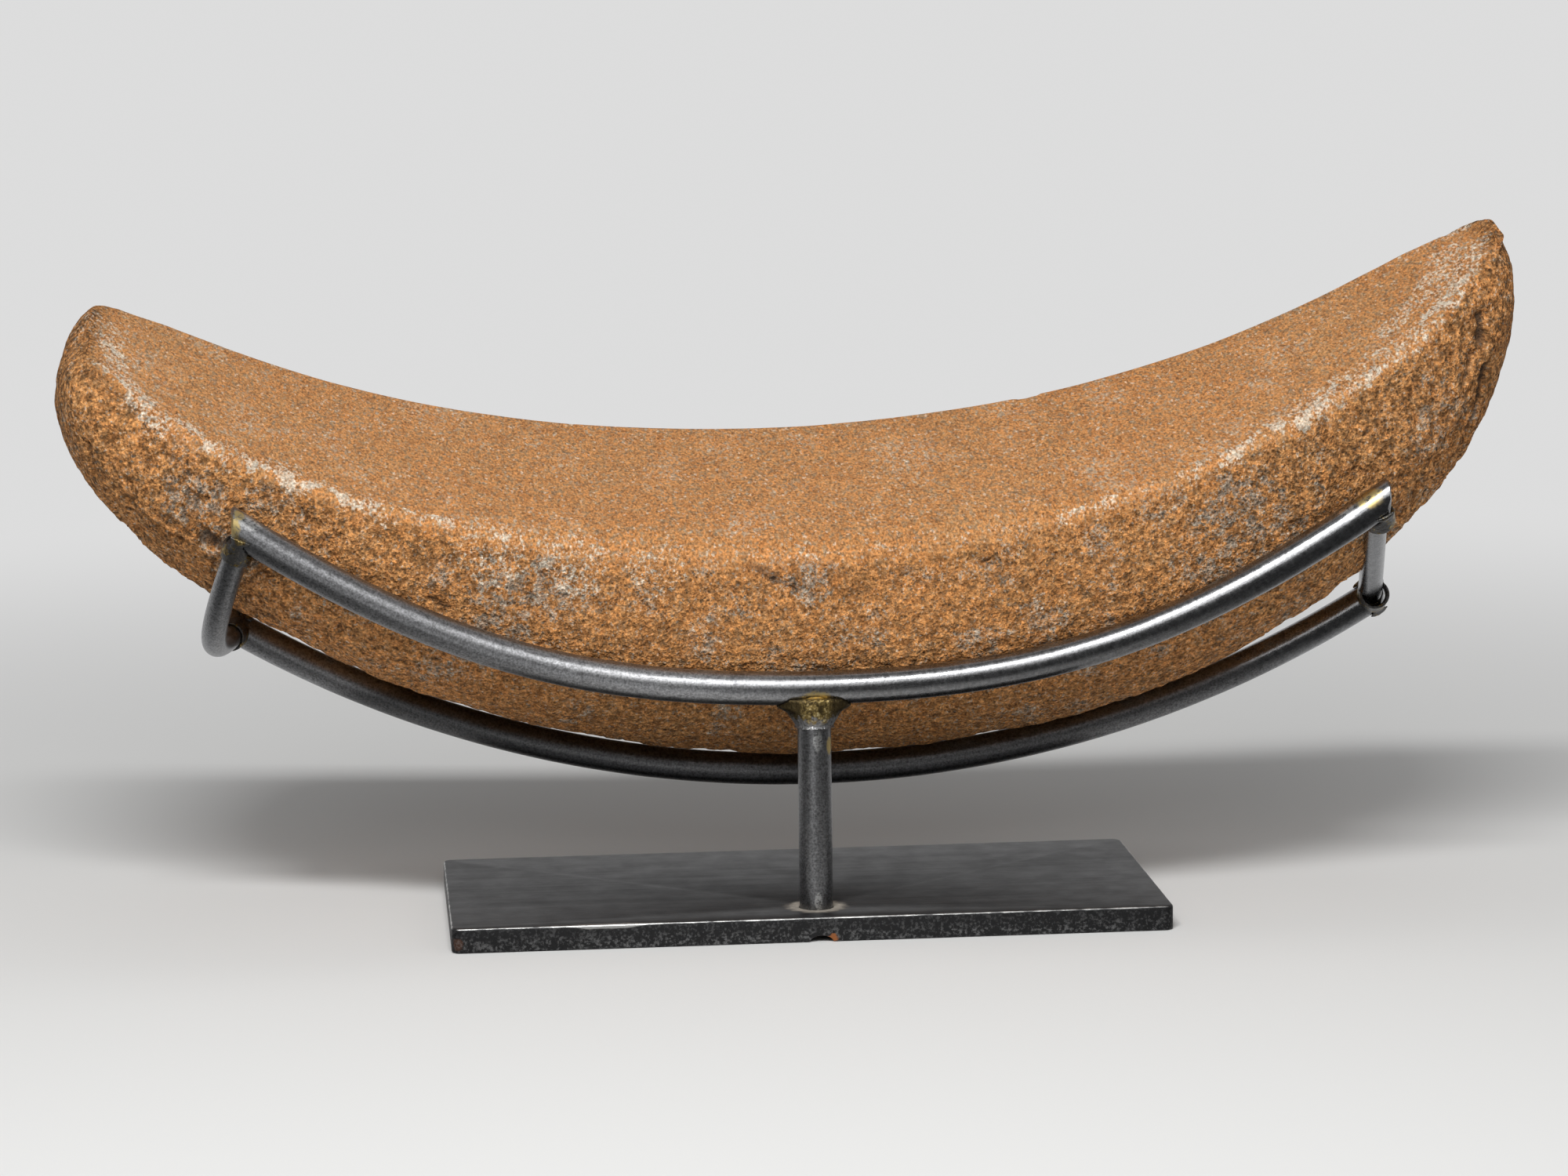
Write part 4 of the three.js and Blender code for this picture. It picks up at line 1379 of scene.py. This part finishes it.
@dataclass
class Cradle:
    """The post, the two bent rails and the two end bars."""

    rod: float = 12.7 * MILLIMETRE
    end_bar: float = 9.5 * MILLIMETRE
    front_quarter_sag: float = 2.4 * MILLIMETRE
    flat_share: float = math.cos(math.pi / 16)
    step: float = 2.0 * MILLIMETRE
    bow_outward: float = 0.45
    bow_forward: float = 0.4
    bow_down: float = 0.8
    bow_most: float = 0.06
    bow_tries: int = 30
    bow_steps: int = 48
    bow_cut: int = 2
    end_bar_sides: int = 40
    file_depth: float = 0.9 * MILLIMETRE
    file_slope: float = 0.55
    post_in_rail: float = 0.25

    def arc(self, node: str) -> tuple[Vector, float, float]:
        """Reads a rail's arc from its frame node.

        Args:
            node: the rail's node.

        Returns:
            The lowest point of its axis, its bend radius and its half span.
        """
        low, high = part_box(node)
        radius = self.rod / 2 * self.flat_share
        span = (high.x - low.x) / 2
        lowest = Vector(((low.x + high.x) / 2, (low.y + high.y) / 2, low.z + radius))
        rise = high.z - lowest.z
        bend = (span ** 2 + rise ** 2 - radius ** 2) / (2 * (rise - radius))
        return lowest, bend, span

    def on_arc(self, node: str, x: float) -> Vector:
        """The point of a rail's axis above a place along X."""
        lowest, bend, span = self.arc(node)
        across = x - lowest.x
        sag = self.front_quarter_sag if node == "front_rail" else 0.0
        sagged = sag * math.sin(math.pi * across / span) ** 2
        return Vector((x, lowest.y, lowest.z + bend - math.sqrt(bend ** 2 - across ** 2) - sagged))

    def rail(self, node: str, finish: bpy.types.Material) -> bpy.types.Object:
        """Bends a rail, cuts its ends off upright and files their edges.

        Args:
            node: the rail's node.
            finish: the bar steel.

        Returns:
            The rail.
        """
        lowest, _, span = self.arc(node)
        reach = span + self.rod
        count = int(2 * reach / self.step)
        shares = [2 * i / count - 1 for i in range(count + 1)]
        points = [self.on_arc(node, lowest.x + reach * share) for share in shares]
        piece = RoundBar(f"{node}_bar", self.rod).build(points, finish)
        for side in Side:
            end = self.on_arc(node, lowest.x + side.value * span)
            file_flat(piece, end, Vector((side.value, 0, 0)))
            self.file_end(piece, end, side)
        shade_smooth(piece)
        return settle(piece, Body.STAND, node)

    def spots(self) -> tuple[list[Spot], list[Spot]]:
        """Where the bars are bright from grinding, where highlights are painted on them, and where braze has run
        over them.
        """
        low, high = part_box("front_rail")
        left = self.on_arc("front_rail", low.x)
        right = self.on_arc("front_rail", high.x)
        post_low, post_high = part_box("post")
        post = (post_low + post_high) / 2
        radius = self.rod / 2
        neck = post_high.z - radius - 0.0085
        top_left = self.on_arc("front_rail", low.x + 0.0065) + Vector((0, -radius * 0.55, radius * 0.83))
        # Bright spots: the two on the post and the one near the left rail end's top are painted highlights; the
        # rest are bare steel from grinding.
        ground_and_glint = [
            Spot(tuple(top_left), 0.0038, squeeze=(0.7, 1.0, 1.0)),
            Spot((post.x + 0.0008, post_low.y, neck - 0.003), 0.0020, squeeze=(1.0, 1.0, 0.45)),
            Spot((post.x + 0.0003, post_low.y, 0.0125), 0.0016, squeeze=(1.0, 1.0, 0.4)),
            Spot(tuple(right + Vector((-0.0165, -radius * 0.55, radius * 0.75 - 0.0105))), 0.0035),
        ]
        lowest = self.arc("front_rail")[0]
        under_front = (post.x + 0.0006, lowest.y - radius * 0.85, lowest.z - radius * 0.62)
        right_top = right + Vector((-0.0085, -radius * 0.6, radius * 0.7 - 0.0045))
        smears = [
            Spot(under_front, 0.0060, squeeze=(1.0, 1.0, 1.5)),
            Spot(tuple(right_top), 0.0047, squeeze=(0.75, 1.0, 1.0)),
            Spot(tuple(left + Vector((0.0010, -radius * 0.7, -0.0005))), 0.0040, squeeze=(1.4, 1.0, 0.9)),
            Spot(tuple(top_left + Vector((-0.0035, 0, 0.0026))), 0.0026),
            Spot((post.x + 0.0052, post.y - 0.0035, neck - 0.005), 0.0022, squeeze=(1.0, 1.0, 0.6)),
        ]
        return ground_and_glint, smears

    def file_end(self, piece: bpy.types.Object, end: Vector, side: Side) -> None:
        """Takes the sharp edge off a rail's end with a few flats, as a file leaves it.

        Args:
            piece: the rail.
            end: the middle of its end.
            side: which end it is.
        """
        radius = self.rod / 2
        for front, up in ((-1, 1), (0, 1), (1, 0.4), (-1, -0.3), (0.3, -1), (-0.7, 0.15), (-0.3, 1)):
            outward = Vector((side.value * 1.3, front, up + self.file_slope * up)).normalized()
            rim = Vector((0, front, up)).normalized() * radius
            file_flat(piece, end + rim - Vector((side.value * self.file_depth, 0, 0)), outward)

    def post(self, finish: bpy.types.Material) -> bpy.types.Object:
        """Stands the post between the plate and the front rail.

        Args:
            finish: the bar steel.

        Returns:
            The post.
        """
        low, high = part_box("post")
        middle = (low + high) / 2
        height = self.on_arc("front_rail", middle.x).z - self.post_in_rail * self.rod - low.z
        count = int(height / self.step)
        points = [Vector((middle.x, middle.y, low.z + height * i / count)) for i in range(count + 1)]
        piece = RoundBar("post_bar", self.rod).build(points, finish)
        shade_smooth(piece)
        return settle(piece, Body.STAND, "post")

    def bar_line(self, side: Side) -> list[Vector]:
        """The bowed line of an end bar, whose bow is let out until it reaches the frame node's outer side."""
        ends = []
        for node in ("front_rail", "back_rail"):
            lowest, _, span = self.arc(node)
            ends.append(self.on_arc(node, lowest.x + side.value * (span - self.end_bar / 2)))
        front, back = ends
        way = Vector((side.value * self.bow_outward, -self.bow_forward, -self.bow_down)).normalized()
        lowest_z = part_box(f"{side.word}_end_bar")[0].z + self.end_bar / 2 * self.flat_share
        near, far = 0.0, self.bow_most
        for _ in range(self.bow_tries):
            bow = (near + far) / 2
            shares = [i / self.bow_steps for i in range(self.bow_steps + 1)]
            points = [self.bowed(front, back, way * bow, share) for share in shares]
            if min(point.z for point in points) > lowest_z:
                near = bow
            else:
                far = bow
        return points

    @staticmethod
    def bowed(front: Vector, back: Vector, bow: Vector, share: float) -> Vector:
        """A point at a share of the way between two ends, on a line bowed at its middle."""
        return front.lerp(back, share) + bow * (4 * share * (1 - share))

    def bar(self, side: Side, finish: bpy.types.Material) -> bpy.types.Object:
        """Makes an end bar.

        Args:
            side: which end it ties.
            finish: the bar steel.

        Returns:
            The bar.
        """
        name = f"{side.word}_end_bar"
        line = self.bar_line(side)[self.bow_cut:-self.bow_cut]
        piece = RoundBar(f"{name}_rod", self.end_bar, self.end_bar_sides).build(line, finish)
        shade_smooth(piece)
        return settle(piece, Body.STAND, name)


@dataclass
class Deposit:
    """A lump of brazing or weld metal that has run round a joint."""

    voxel: float = 0.45 * MILLIMETRE
    grow: float = 0.42 * MILLIMETRE
    lumps: float = 0.5 * MILLIMETRE
    lump_feature: float = 3.2 * MILLIMETRE
    passes: int = 5
    taper: float = 0.0
    taper_height: float = 6.0 * MILLIMETRE

    def build(self, name: str, node: str, slot: Slot, finish: bpy.types.Material) -> bpy.types.Object:
        """Swells a frame node's shape by a set amount so that it wets both bars, and ripples its surface.

        Args:
            name: the piece's name.
            node: the frame node it stands for.
            slot: the record's slot; not used.
            finish: its material.

        Returns:
            The piece.
        """
        tree = GeometryScript(name)
        soft = tree.softened(tree.geometry(), self.passes, tree.given("Softness", 1.0))
        ripple = tree.noise(tree.place(), tree.given("Lump size", self.lump_feature), 2.0) - 0.5
        shift = tree.given("Grow", self.grow) + ripple * tree.given("Lumps", self.lumps)
        if self.taper:
            _, _, z = tree.parts(tree.place())
            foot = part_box(node)[0].z
            shift = shift - z.ramp(foot + self.taper_height, foot) * tree.given("Taper", self.taper)
        tree.close(tree.swelled(soft, shift))
        piece = tree.run(name, finish, merged_copy(node), self.voxel)
        shade_smooth(piece, SMOOTH_ALL_ROUND)
        return settle(piece, Body.STAND, node)


@dataclass
class BasePlate:
    """The steel plate with its edges eased."""

    ease: float = 0.25 * MILLIMETRE
    flat_within: float = math.radians(1)
    eased_beyond: float = math.radians(28)
    crease: float = math.radians(25)

    def build(self, finish: bpy.types.Material) -> bpy.types.Object:
        """Rounds the frame plate's edges a little and hands it over.

        Args:
            finish: the plate steel.

        Returns:
            The plate.
        """
        piece = bpy.data.objects.new("steel_plate", merged_copy("base_plate"))
        bpy.context.scene.collection.objects.link(piece)
        piece.data.materials.clear()
        piece.data.materials.append(finish)
        shape = bmesh.new()
        shape.from_mesh(piece.data)
        bmesh.ops.dissolve_limit(shape, angle_limit=self.flat_within, verts=shape.verts, edges=shape.edges)
        sharp = [edge for edge in shape.edges
                 if len(edge.link_faces) == 2 and edge.calc_face_angle(0.0) > self.eased_beyond]
        bmesh.ops.bevel(shape, geom=sharp, offset=self.ease, segments=2, affect="EDGES", profile=0.5)
        bmesh.ops.triangulate(shape, faces=shape.faces)
        shape.to_mesh(piece.data)
        shape.free()
        shade_smooth(piece, self.crease)
        return settle(piece, Body.STAND, "base_plate")


# Studio


@dataclass(frozen=True)
class Camera:
    """The photograph's viewpoint."""

    place: Triple = (-0.171, -1.796, 0.400)
    yaw: float = 5.30
    pitch: float = 8.66
    roll: float = -0.72
    sensor_width: float = 36.0
    frame_width: float = 2000.0
    focal_pixels: float = 6044.0

    def build(self) -> None:
        """Sets the scene's camera."""
        lens = bpy.data.cameras.new("photo_view")
        lens.sensor_width = self.sensor_width
        lens.lens = self.focal_pixels / self.frame_width * lens.sensor_width
        camera = bpy.data.objects.new("photo_view", lens)
        bpy.context.scene.collection.objects.link(camera)
        yaw, pitch, roll = (math.radians(angle) for angle in (self.yaw, self.pitch, self.roll))
        level = math.cos(pitch)
        ahead = Vector((math.sin(yaw) * level, math.cos(yaw) * level, -math.sin(pitch)))
        right = Vector((math.cos(yaw), -math.sin(yaw), 0.0))
        up = right.cross(ahead)
        turned_right = right * math.cos(roll) + up * math.sin(roll)
        turned_up = up * math.cos(roll) - right * math.sin(roll)
        turn = Matrix((turned_right, turned_up, -ahead)).transposed()
        camera.matrix_world = Matrix.Translation(self.place) @ turn.to_4x4()
        bpy.context.scene.camera = camera


@dataclass(frozen=True)
class Lamp:
    """A soft rectangular lamp."""

    name: str
    place: Triple
    size: tuple[float, float]
    power: float
    aim: Triple = (0.0, 0.0, 0.12)

    def build(self) -> None:
        """Hangs the lamp."""
        light = bpy.data.lights.new(self.name, "AREA")
        light.shape = "RECTANGLE"
        light.size, light.size_y = self.size
        light.energy = self.power
        lamp = bpy.data.objects.new(self.name, light)
        lamp.location = self.place
        way = Vector(self.aim) - Vector(self.place)
        lamp.rotation_euler = way.to_track_quat("-Z", "Y").to_euler()
        bpy.context.scene.collection.objects.link(lamp)


@dataclass(frozen=True)
class Studio:
    """A pale floor that fades into a pale distance, under soft, plain lamps."""

    floor_radius: float = 14.0
    floor_sides: int = 96
    floor_gap: float = 0.05 * MILLIMETRE
    floor_colour: Colour = (0.80, 0.80, 0.79)
    fade_start: float = 0.2
    fade_end: float = 1.2
    distance_tone: float = 0.72
    sky: float = 0.16
    seen_sky: float = 0.72
    room_tone: float = 0.06
    room_fade_start: float = 0.05
    room_fade_end: float = 0.32
    pool_tone: float = 0.90
    pool_way: tuple[float, float] = (-0.276, -0.961)
    pool_edge: tuple[float, float] = (0.955, 0.992)
    room_edge: tuple[float, float] = (-0.3, 0.6)
    lamps: tuple[Lamp, ...] = (
        Lamp("key", (-0.30, -1.35, 1.62), (1.0, 0.22), 30.0),
        Lamp("front", (-0.30, -1.50, 1.10), (1.1, 0.9), 8.0),
        Lamp("fill", (1.50, -1.40, 1.10), (1.1, 1.1), 3.0),
        Lamp("top", (0.10, 0.45, 1.90), (1.2, 0.7), 2.0),
    )

    def build(self) -> None:
        """Makes the floor, the lamps and the sky."""
        self.floor()
        for lamp in self.lamps:
            lamp.build()
        world = bpy.data.worlds.new("studio")
        world.use_nodes = True
        bpy.context.scene.world = world
        script = NodeScript(world.node_tree)
        background = script.found("BACKGROUND")
        script.plug(background.inputs["Color"], (1.0, 1.0, 1.0, 1.0))
        _, back, _ = script.parts(script.term("ShaderNodeTexCoord", output="Generated"))
        mirrored = back.ramp(*self.room_edge).between(self.room_tone, self.seen_sky)
        camera, shiny = self.rays(script)
        strength = camera.between(shiny.between(self.sky, mirrored), self.seen_sky)
        script.plug(background.inputs["Strength"], strength)
        bpy.context.scene.view_settings.view_transform = "Standard"

    @staticmethod
    def rays(script: NodeScript) -> tuple[Term, Term]:
        """One for rays from the camera, and one for rays off shiny metal."""
        rays = script.node("ShaderNodeLightPath")
        return Term(script, rays.outputs["Is Camera Ray"]), Term(script, rays.outputs["Is Glossy Ray"])

    def floor(self) -> None:
        """A round pale floor just below the plate."""
        shape = bmesh.new()
        bmesh.ops.create_circle(shape, cap_ends=True, segments=self.floor_sides, radius=self.floor_radius)
        mesh = bpy.data.meshes.new("floor")
        shape.to_mesh(mesh)
        shape.free()
        floor = bpy.data.objects.new("floor", mesh)
        floor.location.z = -self.floor_gap
        bpy.context.scene.collection.objects.link(floor)
        material = bpy.data.materials.new("floor")
        material.use_nodes = True
        mesh.materials.append(material)
        script = NodeScript(material.node_tree)
        shader = script.found("BSDF_PRINCIPLED")
        looks = {"Base Color": script.opaque(self.floor_colour), "Roughness": 0.9, "Specular IOR Level": 0.2}
        for label, value in looks.items():
            script.plug(shader.inputs[label], value)
        place = script.term("ShaderNodeTexCoord", output="Object")
        away = script.vector_maths("LENGTH", place)
        camera, shiny = self.rays(script)
        x, y, _ = script.parts(place)
        pool = ((x * self.pool_way[0] + y * self.pool_way[1]) / away).ramp(*self.pool_edge)
        room = (y / away).ramp(*self.room_edge).between(self.room_tone, self.distance_tone)
        mirrored = pool.between(room, self.pool_tone)
        tone = camera.between(mirrored, self.distance_tone)
        far = camera * away.ramp(self.fade_start, self.fade_end)
        far = far + shiny * away.ramp(self.room_fade_start, self.room_fade_end)
        distance = script.term("ShaderNodeEmission", {"Color": (1.0, 1.0, 1.0, 1.0), "Strength": tone})
        mixed = script.term("ShaderNodeMixShader", {0: far.least(1.0), 1: shader.outputs[0], 2: distance})
        script.plug(script.found("OUTPUT_MATERIAL").inputs["Surface"], mixed)


def main() -> None:
    """Builds every piece round the frame; each piece logs how far it lies from its frame node."""
    logging.basicConfig(level=logging.INFO, format="%(name)s: %(message)s")
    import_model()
    groups = EffectGroups()
    plate_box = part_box("base_plate")
    foot = (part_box("post")[0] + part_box("post")[1]) / 2
    foot.z = plate_box[1].z

    GrindingStone().build(Sandstone().build(groups))

    cradle = Cradle()
    rod_steel = RodSteel().build(groups, *cradle.spots())
    for node in ("front_rail", "back_rail"):
        cradle.rail(node, rod_steel)
    cradle.post(rod_steel)
    for side in Side:
        cradle.bar(side, rod_steel)

    collar_low, collar_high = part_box("post_top_braze")
    bare_share = 0.40
    lower_edge = collar_low.z + (collar_high.z - collar_low.z) * bare_share
    bright_reach = 6.0 * MILLIMETRE
    run_braze = Braze("run_braze", middle_x=foot.x, bright_reach=bright_reach, lower_edge=lower_edge)
    collar = Deposit(taper=1.5 * MILLIMETRE)
    collar.build("post_top_fillet", "post_top_braze", Slot.BRAZE, run_braze.build(groups))
    filed = Braze("filed_braze", filed_share=0.5).build(groups)
    corner = Deposit(grow=0.3 * MILLIMETRE, lumps=0.25 * MILLIMETRE)
    for side in Side:
        for depth in ("front", "back"):
            corner.build(f"{depth}_{side.word}_fillet", f"{depth}_{side.word}_braze", Slot.BRAZE, filed)
    weld = WeldSteel().build(groups)
    plug = Deposit(grow=0.15 * MILLIMETRE, lumps=0.3 * MILLIMETRE)
    plug.build("plug_weld", "post_foot_weld", Slot.WELD, weld)
    BasePlate().build(PlateSteel().build(groups, plate_box, foot))

    Studio().build()
    Camera().build()


if __name__ == "__main__":
    main()
